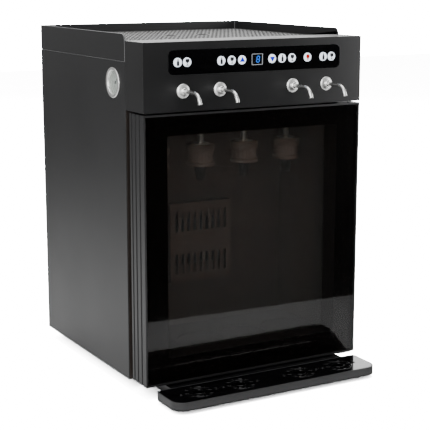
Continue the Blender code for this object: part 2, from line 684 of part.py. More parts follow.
def make_fan():
    """The fan on the hot sink: a square frame with struts, and a rotor on the fan's axis."""
    y0 = y_at(FOAM_END) + FIT + SINK_DEPTH + FIT
    y1 = y0 + FAN_DEPTH
    half = FAN_SIDE / 2
    frame = box("fan_frame", (-half, y0, FAN_Z - half), (half, y1, FAN_Z + half), "black_plastic")
    cut(frame, discs("cut_fan", [(0, FAN_Z)], FAN_DUCT_RADIUS, "y", y0 - 0.01, y1 + 0.01, 32))
    strut, overlap = 0.003, 0.001
    thick = 0.004
    join(frame, discs("add_motor", [(0, FAN_Z)], FAN_HUB_RADIUS, "y", y1 - thick, y1, 20))
    cross = FAN_DUCT_RADIUS + overlap
    upright = ((-strut, y1 - thick + 0.0005, FAN_Z - cross), (strut, y1 - 0.0005, FAN_Z + cross))
    level = ((-cross, y1 - thick + 0.001, FAN_Z - strut), (cross, y1 - 0.001, FAN_Z + strut))
    join(frame, box("add_upright", *upright, "black_plastic"))
    join(frame, box("add_level", *level, "black_plastic"))

    centre = (0, y0 + 0.002, FAN_Z)
    depth = FAN_DEPTH - thick - 0.004
    hub = ((0, 0), (FAN_HUB_RADIUS, 0), (FAN_HUB_RADIUS, depth), (0, depth))
    rotor = turned("fan_rotor", hub, centre, "y", "black_plastic", 20)
    tip = FAN_DUCT_RADIUS - FAN_TIP_GAP
    root = FAN_HUB_RADIUS - 0.002
    pitch_lead, blade = 0.010, 0.0016
    bm = bmesh.new()
    for i in range(FAN_BLADES):
        angle = 2 * pi * i / FAN_BLADES
        radial, tangent = Vector((cos(angle), 0, sin(angle))), Vector((-sin(angle), 0, cos(angle)))
        middle = Vector(centre) + Vector((0, depth / 2, 0))
        corners = []
        for radius in (root, tip):
            for along, across in ((-1, -1), (1, -1), (1, 1), (-1, 1)):
                lead = tangent * along * pitch_lead + Vector((0, along * depth * 0.4, 0))
                thickness = Vector((0, across * blade, 0))
                corners.append(bm.verts.new(middle + radial * radius * 0.985 + lead + thickness))
        bm.faces.new(corners[:4])
        bm.faces.new(corners[4:])
        for k in range(4):
            j = (k + 1) % 4
            bm.faces.new((corners[k], corners[j], corners[j + 4], corners[k + 4]))
    join(rotor, add_object("add_blades", bm, "black_plastic"))
    return rotor


# --- Hood, control panel and spouts -------------------------------------------------------------------------


def make_hood_shell():
    """The folded sheet box across the front, open at the back."""
    seam = 0.0005
    back = y_at(HOOD_DEPTH - seam)
    hood = box("hood_shell", (-HALF, y_at(0), HOOD_Z), (HALF, back, HOOD_TOP), "black_paint")
    low = (-HALF + SHEET, y_at(SHEET), HOOD_Z + SHEET)
    high = (HALF - SHEET, back + 0.01, HOOD_TOP - SHEET)
    cut(hood, box("cut_hood", low, high, "black_paint"))
    cut(hood, prism("cut_panel", panel_outline(FIT), "y", y_at(-0.01), y_at(0.01), "black_paint"))
    holes = [(x, SPOUT_Z) for x in SPOUTS]
    cut(hood, discs("cut_spouts", holes, SPOUT_TUBE_RADIUS + 0.0004, "y", y_at(-0.01), y_at(0.01)))
    pin = [(HINGE_X, y_at(HINGE_FROM_FRONT))]
    cut(hood, discs("cut_hood_pin", pin, HINGE_HOLE_RADIUS, "z", HOOD_Z - 0.01, HOOD_Z + 0.01))


def panel_outline(grow=0.0):
    """Outline of the control panel, or of the opening that it sits in."""
    half, rise, corner = PANEL_LENGTH / 2 + grow, PANEL_HEIGHT / 2 + grow, PANEL_CORNER + grow
    return rounded_rectangle((-half, PANEL_Z - rise), (half, PANEL_Z + rise), (corner,) * 4)


def make_control_panel():
    """The gloss panel in the hood, the display in its window, the board behind it, and the keys."""
    y0 = y_at(-PANEL_PROUD)
    y1 = y0 + PANEL_THICKNESS
    panel = prism("control_panel", panel_outline(), "y", y0, y1, "gloss_black")
    holes = [(x, PANEL_Z) for x in KEYS.values()]
    w, h = DISPLAY_WIDTH / 2, DISPLAY_HEIGHT / 2
    window = ((-w, y0 - 0.01, PANEL_Z - h), (w, y1 + 0.01, PANEL_Z + h))
    cut(panel, box("cut_display", *window, "gloss_black"))
    cut(panel, discs("cut_keys", holes, KEY_RADIUS + KEY_CLEARANCE, "y", y0 - 0.01, y1 + 0.01, 24))
    face = y0 + 0.0004
    low, high = (-w + FIT, face, PANEL_Z - h + FIT), (w - FIT, face + 0.007, PANEL_Z + h - FIT)
    box("display_module", low, high, "blue_display")

    board_y = y_at(BOARD_BACK)
    half = PANEL_LENGTH / 2 - 0.004
    low = (-half, board_y, PANEL_Z - BOARD_HEIGHT / 2)
    high = (half, board_y + BOARD_THICKNESS, PANEL_Z + BOARD_HEIGHT / 2)
    board = box("control_board", low, high, "board_green")
    side, overlap = SWITCH_SIDE / 2, 0.0005
    switches = []
    for x in KEYS.values():
        front = (x - side, board_y - SWITCH_HEIGHT, PANEL_Z - side)
        switches.append((front, (x + side, board_y + overlap, PANEL_Z + side)))
    join(board, boxes("add_switches", switches, "board_green"))

    key_y = y_at(-KEY_PROUD)
    edge = 0.0004
    for name, x in KEYS.items():
        profile = (
            (0, 0),
            (KEY_RADIUS - edge, 0),
            (KEY_RADIUS, edge),
            (KEY_RADIUS, KEY_THICKNESS),
            (0, KEY_THICKNESS),
        )
        smooth(turned(name, profile, (x, key_y, PANEL_Z), "y", "white_key", 20))


def spout_path(x):
    """The tube's centreline, from inside the hood, straight out and down to the tip."""
    bend_start = -(SPOUT_REACH - SPOUT_BEND_RADIUS)
    path = [Vector((x, y_at(SPOUT_INSIDE), SPOUT_Z)), Vector((x, y_at(bend_start), SPOUT_Z))]
    steps = 7
    for i in range(1, steps + 1):
        angle = SPOUT_BEND_ANGLE * i / steps
        y = bend_start - SPOUT_BEND_RADIUS * sin(angle)
        path.append(Vector((x, y_at(y), SPOUT_Z - SPOUT_BEND_RADIUS * (1 - cos(angle)))))
    ahead = Vector((0, -cos(SPOUT_BEND_ANGLE), -sin(SPOUT_BEND_ANGLE)))
    path.append(path[-1] + ahead * 0.006)
    return path


def make_spouts():
    """A bent tube through the hood, with a round flange against its face."""
    hub = SPOUT_TUBE_RADIUS + 0.0015
    for number, x in enumerate(SPOUTS, 1):
        flange = (
            (0, -SPOUT_FLANGE - 0.002),
            (hub, -SPOUT_FLANGE - 0.002),
            (hub + 0.001, -SPOUT_FLANGE),
            (SPOUT_FLANGE_RADIUS - 0.002, -SPOUT_FLANGE + 0.0008),
            (SPOUT_FLANGE_RADIUS, -FIT - 0.0006),
            (SPOUT_FLANGE_RADIUS, -FIT),
            (0, -FIT),
        )
        centre = (x, y_at(0), SPOUT_Z)
        spout = turned(f"spout_{number}", flange, centre, "y", "chrome")
        bm = bmesh.new()
        fill_tube(bm, spout_path(x), SPOUT_TUBE_RADIUS, 12)
        join(spout, add_object(f"add_tube_{number}", bm, "chrome"))
        smooth(spout)


def make_valve_block():
    """The bar that the gas and wine valves stand on, one valve for each bottle."""
    y, half = y_at(HEAD_DEPTH + 0.045), BAYS[-1] + 0.015
    low, high = (-half, y - 0.011, SHELF_TOP + FIT), (half, y + 0.011, SHELF_TOP + 0.020)
    block = box("valve_block", low, high, "aluminium")
    centres = [(x, y) for x in BAYS]
    join(block, discs("add_coils", centres, 0.009, "z", SHELF_TOP + 0.018, SHELF_TOP + 0.050, 16))


# --- Gauge, power and gas -----------------------------------------------------------------------------------


def make_gauge():
    """The pressure gauge in the left side panel: case and bezel, needle and lens."""
    centre = (-HALF, y_at(GAUGE_DEPTH), GAUGE_Z)
    bore, floor = GAUGE_LENS_RADIUS + FIT, 0.006
    case = (
        (0, GAUGE_CASE_DEPTH),
        (GAUGE_CASE_RADIUS, GAUGE_CASE_DEPTH),
        (GAUGE_CASE_RADIUS, -FIT),
        (GAUGE_BEZEL_RADIUS, -FIT),
        (GAUGE_BEZEL_RADIUS, -GAUGE_BEZEL / 2),
        (GAUGE_BEZEL_RADIUS - GAUGE_BEZEL, -GAUGE_BEZEL),
        (bore, -GAUGE_BEZEL),
        (bore, floor),
        (0, floor),
    )
    smooth(turned("gauge_case", case, centre, "x", "chrome", 32))
    lens = GAUGE_LENS_RADIUS
    profile = ((0, 0), (lens, 0), (lens, 0.0015), (0, 0.0015))
    smooth(turned("gauge_lens", profile, (-HALF - GAUGE_LENS_PROUD, *centre[1:]), "x", "clear_glass", 32))
    needle_x = -HALF + floor - 0.0016
    start = 0.75 * pi
    along, across = Vector((cos(start), sin(start))), Vector((-sin(start), cos(start)))
    middle = Vector(centre[1:])
    outline = []
    for reach, width in ((-0.005, 0.0008), (0.0145, 0.0003), (0.0145, -0.0003), (-0.005, -0.0008)):
        outline.append(tuple(middle + along * reach + across * width))
    origin = (needle_x, *centre[1:])
    needle = prism("gauge_needle", outline, "x", needle_x - 0.0004, needle_x + 0.0004, "rubber", origin)
    outline = circle(*centre[1:], 0.0024, 12)
    join(needle, prism("add_boss", outline, "x", needle_x - 0.0008, needle_x + 0.0008, "rubber"))


def gas_centre():
    """X and Z of the gas fitting in the rear panel."""
    return (-HALF + 0.070, SHELF_TOP + 0.030)


def inlet_box(grow=0.0):
    """Corners of the power inlet's body, as wide as the cut-out in the rear panel less the fit."""
    x, z = HALF - 0.060, FOOT_HEIGHT + 0.050
    w, h = 0.0135 + grow, 0.0100 + grow
    back = y_at(CABINET_BACK)
    return ((x - w, back - 0.020, z - h), (x + w, back, z + h))


def make_power_inlet():
    """A three-pin appliance inlet: a body through the rear panel, a flange outside it, and its socket."""
    low, high = inlet_box()
    back, flange = y_at(CABINET_BACK), 0.002
    inlet = box("power_inlet", low, (high[0], back + flange / 2, high[2]), "black_plastic")
    edge = 0.004
    plate_low = (low[0] - edge, back + FIT, low[2] - edge)
    plate_high = (high[0] + edge, back + FIT + flange, high[2] + edge)
    join(inlet, box("add_inlet_flange", plate_low, plate_high, "black_plastic"))
    wall = 0.002
    socket = ((low[0] + wall, back - 0.015, low[2] + wall), (high[0] - wall, back + 0.01, high[2] - wall))
    cut(inlet, box("cut_socket", *socket, "black_plastic"))
    middle_x, middle_z = (low[0] + high[0]) / 2, (low[2] + high[2]) / 2
    pins = []
    for dx, dz in ((-0.007, -0.0015), (0, 0.0025), (0.007, -0.0015)):
        x, z = middle_x + dx, middle_z + dz
        pins.append(((x - 0.001, back - 0.016, z - 0.002), (x + 0.001, back - 0.0055, z + 0.002)))
    join(inlet, boxes("add_pins", pins))


def make_gas_inlet():
    """The hose tail for the preserving gas, with its hexagon against the rear panel."""
    x, z = gas_centre()
    tail = (
        (0, FITTING_REACH),
        (0.0022, FITTING_REACH),
        (0.0034, FITTING_REACH - 0.003),
        (0.0026, FITTING_REACH - 0.003),
        (0.0036, FITTING_REACH - 0.007),
        (0.0028, FITTING_REACH - 0.007),
        (0.0028, 0.003),
        (0.005, 0.003),
        (0.005, -0.014),
        (0, -0.014),
    )
    fitting = turned("gas_inlet", tail, (x, y_at(CABINET_BACK), z), "y", "chrome", 16)
    face = y_at(CABINET_BACK)
    hexagon = prism("add_hexagon", circle(x, z, 0.0085, 6), "y", face + FIT, face + 0.005, "chrome")
    smooth(join(fitting, hexagon))


def make_power_supply():
    """The box that feeds the cooler, on the base plate behind the foam."""
    front = y_at(FOAM_END + 0.020)
    low = (-0.075, front, BASE_TOP + FIT)
    box("power_supply", low, (0.075, front + 0.100, BASE_TOP + 0.042), "aluminium")


# --- Door ---------------------------------------------------------------------------------------------------


def make_door():
    """Frame, two panes and gasket, all on a pivot at the hinge axis."""
    y0, y1 = y_at(0), y_at(DOOR_THICKNESS)
    frame = box("door_frame", (-HALF, y0, DOOR_Z), (HALF, y1, DOOR_TOP), "black_plastic")
    inner = HALF - DOOR_RAIL
    low_z, high_z = DOOR_Z + DOOR_RAIL, DOOR_TOP - DOOR_TOP_RAIL
    cut(frame, box("cut_window", (-inner, y0 - 0.01, low_z), (inner, y1 + 0.01, high_z), "black_plastic"))

    rim = HALF - DOOR_RIM
    rebate_y = y_at(GLASS + 2 * FIT)
    recess = ((-rim, y0 - 0.01, DOOR_Z + DOOR_RIM), (rim, rebate_y, DOOR_TOP - DOOR_RIM))
    cut(frame, box("cut_front_rebate", *recess, "black_plastic"))
    shy = DOOR_RIM + FIT
    low, high = (-HALF + shy, y_at(FIT), DOOR_Z + shy), (HALF - shy, y_at(FIT + GLASS), DOOR_TOP - shy)
    outer_glass = box("door_outer_glass", low, high, "tinted_glass")

    edge = inner + INNER_REBATE
    back = DOOR_THICKNESS - 0.006
    step_y = y_at(back - GLASS - FIT)
    recess = ((-edge, step_y, low_z - INNER_REBATE), (edge, y1 + 0.01, high_z + INNER_REBATE))
    cut(frame, box("cut_back_rebate", *recess, "black_plastic"))
    shy = INNER_REBATE - FIT
    low = (-inner - shy, step_y + FIT, low_z - shy)
    high = (inner + shy, step_y + FIT + GLASS, high_z + shy)
    inner_glass = box("door_inner_glass", low, high, "clear_glass")

    for number, (first, last) in enumerate(GROOVES, 1):
        cut(frame, groove_cutter(f"cut_groove_{number}", y_at(first), y_at(last)))
    pin = [(HINGE_X, y_at(HINGE_FROM_FRONT))]
    reach = HINGE_PIN_REACH + 0.001
    cut(frame, discs("cut_low_pin", pin, HINGE_HOLE_RADIUS, "z", DOOR_Z - 0.01, DOOR_Z + reach))
    cut(frame, discs("cut_high_pin", pin, HINGE_HOLE_RADIUS, "z", DOOR_TOP - reach, DOOR_TOP + 0.01))

    x, z0, z1 = HALF - GASKET_INSET, DOOR_Z + GASKET_INSET, DOOR_TOP - GASKET_INSET
    ring_y0, ring_y1 = y1 + FIT, y_at(HOOD_DEPTH) - FIT
    gasket = box("door_gasket", (-x, ring_y0, z0), (x, ring_y1, z1), "rubber")
    x, z0, z1 = x - GASKET_WIDTH, z0 + GASKET_WIDTH, z1 - GASKET_WIDTH
    cut(gasket, box("cut_gasket", (-x, ring_y0 - 0.01, z0), (x, ring_y1 + 0.01, z1), "rubber"))

    hinge = pivot("door_pivot", (HINGE_X, y_at(HINGE_FROM_FRONT), DOOR_Z))
    hang_on(hinge, frame, outer_glass, inner_glass, gasket)


def groove_cutter(name, y0, y1):
    """A square ring that cuts a groove into all four edges of the door."""
    out, depth = 0.01, GROOVE_DEPTH
    ring = box(name, (-HALF - out, y0, DOOR_Z - out), (HALF + out, y1, DOOR_TOP + out), "black_plastic")
    core = ((-HALF + depth, y0 - 0.01, DOOR_Z + depth), (HALF - depth, y1 + 0.01, DOOR_TOP - depth))
    inner = box(f"{name}_core", *core, "black_plastic")
    return cut(ring, inner)


def make_hinges():
    """Two brackets with pins: the lower one on the liner's flange, the upper one inside the hood."""
    x0, x1 = HINGE_X - 0.018, HALF - 0.002
    pin = (HINGE_X, y_at(HINGE_FROM_FRONT))
    flange_y = y_at(HOOD_DEPTH) - FIT
    top = DOOR_Z - 0.0005
    low = box("lower_hinge", (x0, y_at(0.006), top - HINGE_PLATE), (x1, flange_y, top), "aluminium")
    leg_top = DOOR_Z + GASKET_INSET - 0.002
    join(low, box("add_leg", (x0, flange_y - HINGE_PLATE, top - 0.001), (x1, flange_y, leg_top), "aluminium"))
    join(low, discs("add_low_pin", [pin], HINGE_PIN_RADIUS, "z", top - 0.001, DOOR_Z + HINGE_PIN_REACH))

    base = HOOD_Z + SHEET + FIT
    rear = y_at(HOOD_DEPTH) - 0.004
    high = box("upper_hinge", (x0, y_at(0.004), base), (x1 - 0.001, rear, base + HINGE_PLATE), "aluminium")
    join(high, discs("add_high_pin", [pin], HINGE_PIN_RADIUS, "z", DOOR_TOP - HINGE_PIN_REACH, base + 0.001))


# --- Drip tray ----------------------------------------------------------------------------------------------


def tray_outline(inset):
    """The pan's outline, with large front corners, moved in by inset."""
    half = HALF - TRAY_INSET - inset
    front, back = y_at(-TRAY_REACH + inset), y_at(-TRAY_FRONT_GAP - inset)
    large, small = TRAY_CORNER - inset, 0.006 - inset / 2
    return rounded_rectangle((-half, front), (half, back), (large, large, small, small))


def make_drip_tray():
    """The floor plate with its neck and arm, the rim on it, and the cover with four drains."""
    front = (0, y_at(-TRAY_REACH), TRAY_Z)
    floor_top = TRAY_Z + TRAY_FLOOR
    plate = prism("drip_tray", tray_outline(0), "z", TRAY_Z, floor_top, "black_paint", front)
    neck_x, neck_y = HALF - NECK_FROM_SIDE, y_at(-TRAY_FRONT_GAP) + FIT
    tongue = ((-neck_x, neck_y - 0.010, TRAY_Z), (neck_x, neck_y + 0.001, floor_top))
    join(plate, box("add_tongue", *tongue, "black_paint"))
    neck = ((-neck_x, neck_y, TRAY_Z), (neck_x, y_at(NECK_END), TRAY_TOP))
    join(plate, box("add_neck", *neck, "black_paint"))
    arm_low = (-ARM_WIDTH / 2, y_at(NECK_END) - 0.001, TRAY_Z)
    arm_high = (ARM_WIDTH / 2, y_at(HOOD_DEPTH + ARM_REACH), TRAY_Z + ARM_THICKNESS)
    join(plate, box("add_arm", arm_low, arm_high, "black_paint"))

    rim = prism("tray_rim", tray_outline(0), "z", floor_top + FIT, TRAY_TOP, "black_paint", front)
    seat = TRAY_TOP - COVER_THICKNESS - FIT
    cut(rim, prism("cut_seat", tray_outline(TRAY_WALL), "z", seat, TRAY_TOP + 0.01, "black_paint"))
    deep = tray_outline(TRAY_WALL + TRAY_LEDGE)
    cut(rim, prism("cut_pan", deep, "z", TRAY_Z, TRAY_TOP + 0.01, "black_paint"))

    middle = y_at(-(TRAY_REACH + TRAY_FRONT_GAP) / 2)
    low = TRAY_TOP - COVER_THICKNESS
    outline = tray_outline(TRAY_WALL + FIT)
    cover = prism("drip_cover", outline, "z", low, TRAY_TOP, "gloss_black", (0, middle, TRAY_TOP))
    bm = bmesh.new()
    half_angle = 0.3 * 2 * pi / DRAIN_SLOTS
    for x in DRAINS:
        fill_prism(bm, circle(x, middle, DRAIN_RADIUS, 16), "z", low - 0.01, TRAY_TOP + 0.01)
        for reach in (-DRAIN_DOT_REACH, DRAIN_DOT_REACH):
            dot = circle(x + reach, middle, DRAIN_DOT_RADIUS, 8)
            fill_prism(bm, dot, "z", low - 0.01, TRAY_TOP + 0.01)
        for i in range(DRAIN_SLOTS):
            angle = 2 * pi * (i + 0.5) / DRAIN_SLOTS
            slot = arc_slot(x, middle, DRAIN_SLOT_RING, DRAIN_SLOT_HALF_WIDTH, angle, half_angle, 3)
            fill_prism(bm, slot, "z", low - 0.01, TRAY_TOP + 0.01)
    cut(cover, add_object("cut_drains", bm, "gloss_black"))


def main():
    for old in list(bpy.data.objects):
        bpy.data.objects.remove(old)
    make_feet()
    make_base_plate()
    make_side_panels()
    make_rear_panel()
    make_gallery_rail()
    make_top_grille()
    make_inner_liner()
    make_insulation()
    make_service_shelf()
    make_bottle_mat()
    make_head_rail()
    make_heads()
    make_light_strip()
    make_cooling()
    make_fan()
    make_hood_shell()
    make_control_panel()
    make_spouts()
    make_valve_block()
    make_gauge()
    make_power_inlet()
    make_gas_inlet()
    make_power_supply()
    make_door()
    make_hinges()
    make_drip_tray()


main()
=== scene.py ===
# %% [markdown]
# # A countertop wine dispenser, from frame to finish
#
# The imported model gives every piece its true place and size. This lesson keeps those solids where their shape
# is right, rounds their edges, and replaces the ones that the eye rests on: the deck, the keys, the spouts,
# the gauge and the dispensing heads. Everything is in metres. The front faces -Y.

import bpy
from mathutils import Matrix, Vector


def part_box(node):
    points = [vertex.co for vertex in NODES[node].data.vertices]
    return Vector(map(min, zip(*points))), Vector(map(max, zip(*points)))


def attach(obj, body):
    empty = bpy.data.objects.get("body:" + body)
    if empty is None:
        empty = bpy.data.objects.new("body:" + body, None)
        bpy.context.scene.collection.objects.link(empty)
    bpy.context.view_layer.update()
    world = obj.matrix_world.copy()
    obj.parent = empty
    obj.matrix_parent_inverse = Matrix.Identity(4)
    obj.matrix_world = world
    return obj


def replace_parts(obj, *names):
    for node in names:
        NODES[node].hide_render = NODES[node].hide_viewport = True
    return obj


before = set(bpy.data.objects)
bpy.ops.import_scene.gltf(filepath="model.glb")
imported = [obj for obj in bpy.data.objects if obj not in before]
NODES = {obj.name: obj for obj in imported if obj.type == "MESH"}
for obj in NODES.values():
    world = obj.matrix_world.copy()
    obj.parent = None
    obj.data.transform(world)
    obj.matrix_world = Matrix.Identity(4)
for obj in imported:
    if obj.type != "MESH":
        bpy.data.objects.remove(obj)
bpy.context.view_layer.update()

# %% Libraries and units
from math import cos, pi, radians, sin, sqrt, tau

import bmesh
import bpy
from mathutils import Matrix, Vector

MM = 0.001

# %% [markdown]
# Positions come from the frame. The corners and the middle of a node are enough to place nearly every new
# piece, so one small class reads them and the rest of the lesson never repeats a coordinate.

# %% Read places from the frame


class Place:
    """Where a CAD node is: its lowest and highest corner, its middle and its size."""

    def __init__(self, node):
        low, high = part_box(node)
        self.low, self.high = Vector(low), Vector(high)
        self.middle = (self.low + self.high) / 2
        self.size = self.high - self.low


hood = Place("hood_shell")
door = Place("door_frame")
pane = Place("door_outer_glass")
deck = Place("top_grille")
print("hood", [round(v / MM, 1) for v in hood.size], "deck", [round(v / MM, 1) for v in deck.size])

# %% [markdown]
# The camera comes first, because it decides which details matter. It stands at the left front, about two
# metres away and a little above the machine, with a long lens that keeps the sides nearly parallel.

# %% Camera
CAMERA_AT = Vector((-1.0021, -1.8106, 0.6704))
CAMERA_TURN = radians(29.46)
CAMERA_DIP = radians(11.44)
LENS_MM = 101.7
SENSOR_MM = 36.0

camera = bpy.data.objects.new("camera", bpy.data.cameras.new("camera"))
camera.data.lens = LENS_MM
camera.data.sensor_width = SENSOR_MM
camera.location = CAMERA_AT
camera.rotation_euler = (pi / 2 - CAMERA_DIP, 0.0, -CAMERA_TURN)
bpy.context.scene.collection.objects.link(camera)
bpy.context.scene.camera = camera
print("camera", round(CAMERA_AT.length, 2), "m from the origin, lens", LENS_MM, "mm")

# %% [markdown]
# A material is a small net of nodes. One function adds a node, sets its values and joins its inputs, so each
# finish below reads as a list of what it is made of. Colours are written as sRGB hex, the way a paint chart
# gives them, and one function turns them into the linear values that light is added up in.

# %% Colour and node helpers


def linear(code):
    """An sRGB hex colour as linear RGBA."""
    channels = [int(code[i : i + 2], 16) / 255 for i in (1, 3, 5)]
    return (*[c / 12.92 if c <= 0.04045 else ((c + 0.055) / 1.055) ** 2.4 for c in channels], 1.0)


def add(tree, kind, values=None, links=None, stops=()):
    """A new node with its settings, values, links and, on a ramp, its (position, hex colour) stops."""
    node = tree.nodes.new("ShaderNode" + kind)
    for key, value in (values or {}).items():
        if isinstance(key, str) and hasattr(node, key):
            setattr(node, key, value)
        else:
            node.inputs[key].default_value = value
    for key, source in (links or {}).items():
        tree.links.new(source.outputs[0] if hasattr(source, "outputs") else source, node.inputs[key])
    for i, (position, code) in enumerate(stops):
        elements = node.color_ramp.elements
        element = elements[i] if i < len(elements) else elements.new(position)
        element.position = position
        element.color = linear(code)
    return node


def start_material(name):
    """An empty material, its tree, and the coordinates of the object's own space, in metres."""
    print("finish:", name)
    material = bpy.data.materials.new(name)
    material.use_nodes = True
    material.node_tree.nodes.clear()
    return material, material.node_tree, add(material.node_tree, "TexCoord").outputs["Object"]


def per_mm(size):
    """The texture scale, per metre, that gives a noise cell of this many millimetres."""
    return 1000.0 / size


# %% [markdown]
# ## Powder-coated steel
# The case is sheet steel with a black polyester powder coat. The powder melts into a skin that is never quite
# flat: it keeps a fine orange peel, which breaks a highlight into a soft band. Real peel is about 1 mm across.
# It is drawn at 2.2 mm so that it shows at this distance. A broad, faint change in roughness stands for
# handling and dust. The rounded edges of the gallery and the hood are given a light grey coat of their own,
# a painted highlight that stands for the light those edges catch.

# %% Powder coat


def coated_steel(name, shade, wear_and_highlight_tone, roughness, peel_mm=2.2, lift_mm=0.012):
    """Powder coat: orange peel in the bump, and handling in the roughness."""
    material, tree, place = start_material(name)
    peel = add(tree, "TexNoise", {"Scale": per_mm(peel_mm), "Detail": 3.0, "Roughness": 0.5}, {"Vector": place})
    haze = add(tree, "TexNoise", {"Scale": per_mm(120), "Detail": 5.0, "Roughness": 0.6}, {"Vector": place})
    tone = add(tree, "ValToRGB", None, {"Fac": haze}, [(0.35, shade), (0.75, wear_and_highlight_tone)])
    bump = add(tree, "Bump", {"Strength": 0.6, "Distance": lift_mm * MM}, {"Height": peel})
    gloss = add(tree, "MapRange", {"To Min": roughness - 0.06, "To Max": roughness + 0.07}, {"Value": haze})
    shader = add(tree, "BsdfPrincipled", {"IOR": 1.5}, {"Base Color": tone, "Roughness": gloss, "Normal": bump})
    add(tree, "OutputMaterial", None, {"Surface": shader})
    return material


powder_coat = coated_steel("powder_coated_steel", "#1b1b1c", "#212122", 0.40)
hood_coat = coated_steel("powder_coated_hood", "#161617", "#1c1c1d", 0.36)
tray_coat = coated_steel("powder_coated_tray", "#29292a", "#313132", 0.44)
deck_coat = coated_steel("satin_deck_enamel", "#3d3d3c", "#494948", 0.5, peel_mm=3.0, lift_mm=0.02)
# Painted highlight: a light grey for rounded edges, standing for the light they catch, not a colour of the coat.
painted_highlight_coat = coated_steel("painted_edge_highlight_coat", "#8f9091", "#a2a3a3", 0.28)

# %% [markdown]
# ## Moulded plastics
# The door's frame and the small fittings are injection-moulded ABS with a spark-eroded texture, which is a
# fine, even grit about 0.2 mm across. It is drawn at 0.5 mm. The dispensing heads are glass-filled nylon, which
# is greyer and drier. The rim of the display is milky polycarbonate from a polished mould.

# %% Moulded plastics


def moulded(name, shade, light, roughness, grit_mm=0.5, lift_mm=0.01, coat=0.0):
    """Moulded plastic: a fine grit, and colour that drifts as the melt flowed."""
    material, tree, place = start_material(name)
    grit = add(tree, "TexNoise", {"Scale": per_mm(grit_mm), "Detail": 2.0}, {"Vector": place})
    flow = add(tree, "TexNoise", {"Scale": per_mm(45), "Detail": 3.0}, {"Vector": place})
    tone = add(tree, "ValToRGB", None, {"Fac": flow}, [(0.3, shade), (0.75, light)])
    bump = add(tree, "Bump", {"Strength": 0.4, "Distance": lift_mm * MM}, {"Height": grit})
    gloss = add(tree, "MapRange", {"To Min": roughness - 0.04, "To Max": roughness + 0.05}, {"Value": flow})
    fixed = {"IOR": 1.53, "Coat Weight": coat, "Coat Roughness": 0.04}
    shader = add(tree, "BsdfPrincipled", fixed, {"Base Color": tone, "Roughness": gloss, "Normal": bump})
    add(tree, "OutputMaterial", None, {"Surface": shader})
    return material


textured_abs = moulded("textured_abs", "#1a1a1b", "#202021", 0.40)
liner_abs = moulded("vacuum_formed_liner", "#2b2420", "#352d28", 0.42, grit_mm=1.2)
duct_abs = moulded("brown_duct_cover", "#332a25", "#40362f", 0.5, grit_mm=1.2)
nylon = moulded("glass_filled_nylon", "#3c3835", "#4a4541", 0.40)
key_white = moulded("milky_polycarbonate", "#dfe6ee", "#eef3f8", 0.24, lift_mm=0.002, coat=0.4)
fan_plastic = moulded("fan_pbt", "#0e0e0f", "#161617", 0.38)
board_mask = moulded("solder_mask_board", "#0c3a22", "#124a2c", 0.35, grit_mm=0.9)

# %% [markdown]
# ## Gloss acrylic
# The key panel and the drip cover have a piano-black face. The eye reads it by its reflections alone, so the
# base is almost black and the roughness very low, with faint wipe marks in it: long, thin streaks where a
# cloth went over.

# %% Gloss acrylic


def gloss_black(name, shade, roughness, marks):
    """Gloss acrylic: a near-black base whose reflections carry faint wipe marks."""
    material, tree, place = start_material(name)
    drawn_out = add(tree, "Mapping", {"Scale": (6.0, 30.0, 60.0), "Rotation": (0.0, 0.3, 0.2)}, {"Vector": place})
    wipes = add(tree, "TexNoise", {"Scale": 2.0, "Detail": 5.0, "Roughness": 0.7}, {"Vector": drawn_out})
    ripple = add(tree, "TexNoise", {"Scale": per_mm(60), "Detail": 1.0}, {"Vector": place})
    bump = add(tree, "Bump", {"Strength": 0.15, "Distance": 0.05 * MM}, {"Height": ripple})
    tone = add(tree, "ValToRGB", None, {"Fac": wipes}, [(0.4, shade), (0.9, "#101012")])
    gloss = add(tree, "MapRange", {"To Min": roughness, "To Max": roughness + marks}, {"Value": wipes})
    shader = add(tree, "BsdfPrincipled", {"IOR": 1.49}, {"Base Color": tone, "Roughness": gloss, "Normal": bump})
    add(tree, "OutputMaterial", None, {"Surface": shader})
    return material


acrylic = gloss_black("gloss_black_acrylic", "#040405", 0.05, 0.05)
tray_gloss = gloss_black("gloss_black_drip_cover", "#050506", 0.07, 0.07)

# %% [markdown]
# ## Metals
# Chrome plate and mill-finish aluminium differ in how their scratches run. Chrome has nearly none, so its
# roughness is low and only a little uneven. A rolled sheet carries fine lines along the rolling direction,
# about 0.3 mm apart, drawn at 0.8 mm.

# %% Metals


def metal(name, shade, light, roughness, lines=(1.0, 1.0, 1.0), scratch_mm=0.8, lift_mm=0.004):
    """Plated or rolled metal, with scratches that may run one way."""
    material, tree, place = start_material(name)
    along = add(tree, "Mapping", {"Scale": lines}, {"Vector": place})
    scratches = add(tree, "TexNoise", {"Scale": per_mm(scratch_mm), "Detail": 3.0}, {"Vector": along})
    tone = add(tree, "ValToRGB", None, {"Fac": scratches}, [(0.3, shade), (0.7, light)])
    bump = add(tree, "Bump", {"Strength": 0.3, "Distance": lift_mm * MM}, {"Height": scratches})
    gloss = add(tree, "MapRange", {"To Min": roughness * 0.8, "To Max": roughness * 1.3}, {"Value": scratches})
    shader = add(tree, "BsdfPrincipled", {"Metallic": 1.0}, {"Base Color": tone, "Roughness": gloss, "Normal": bump})
    add(tree, "OutputMaterial", None, {"Surface": shader})
    return material


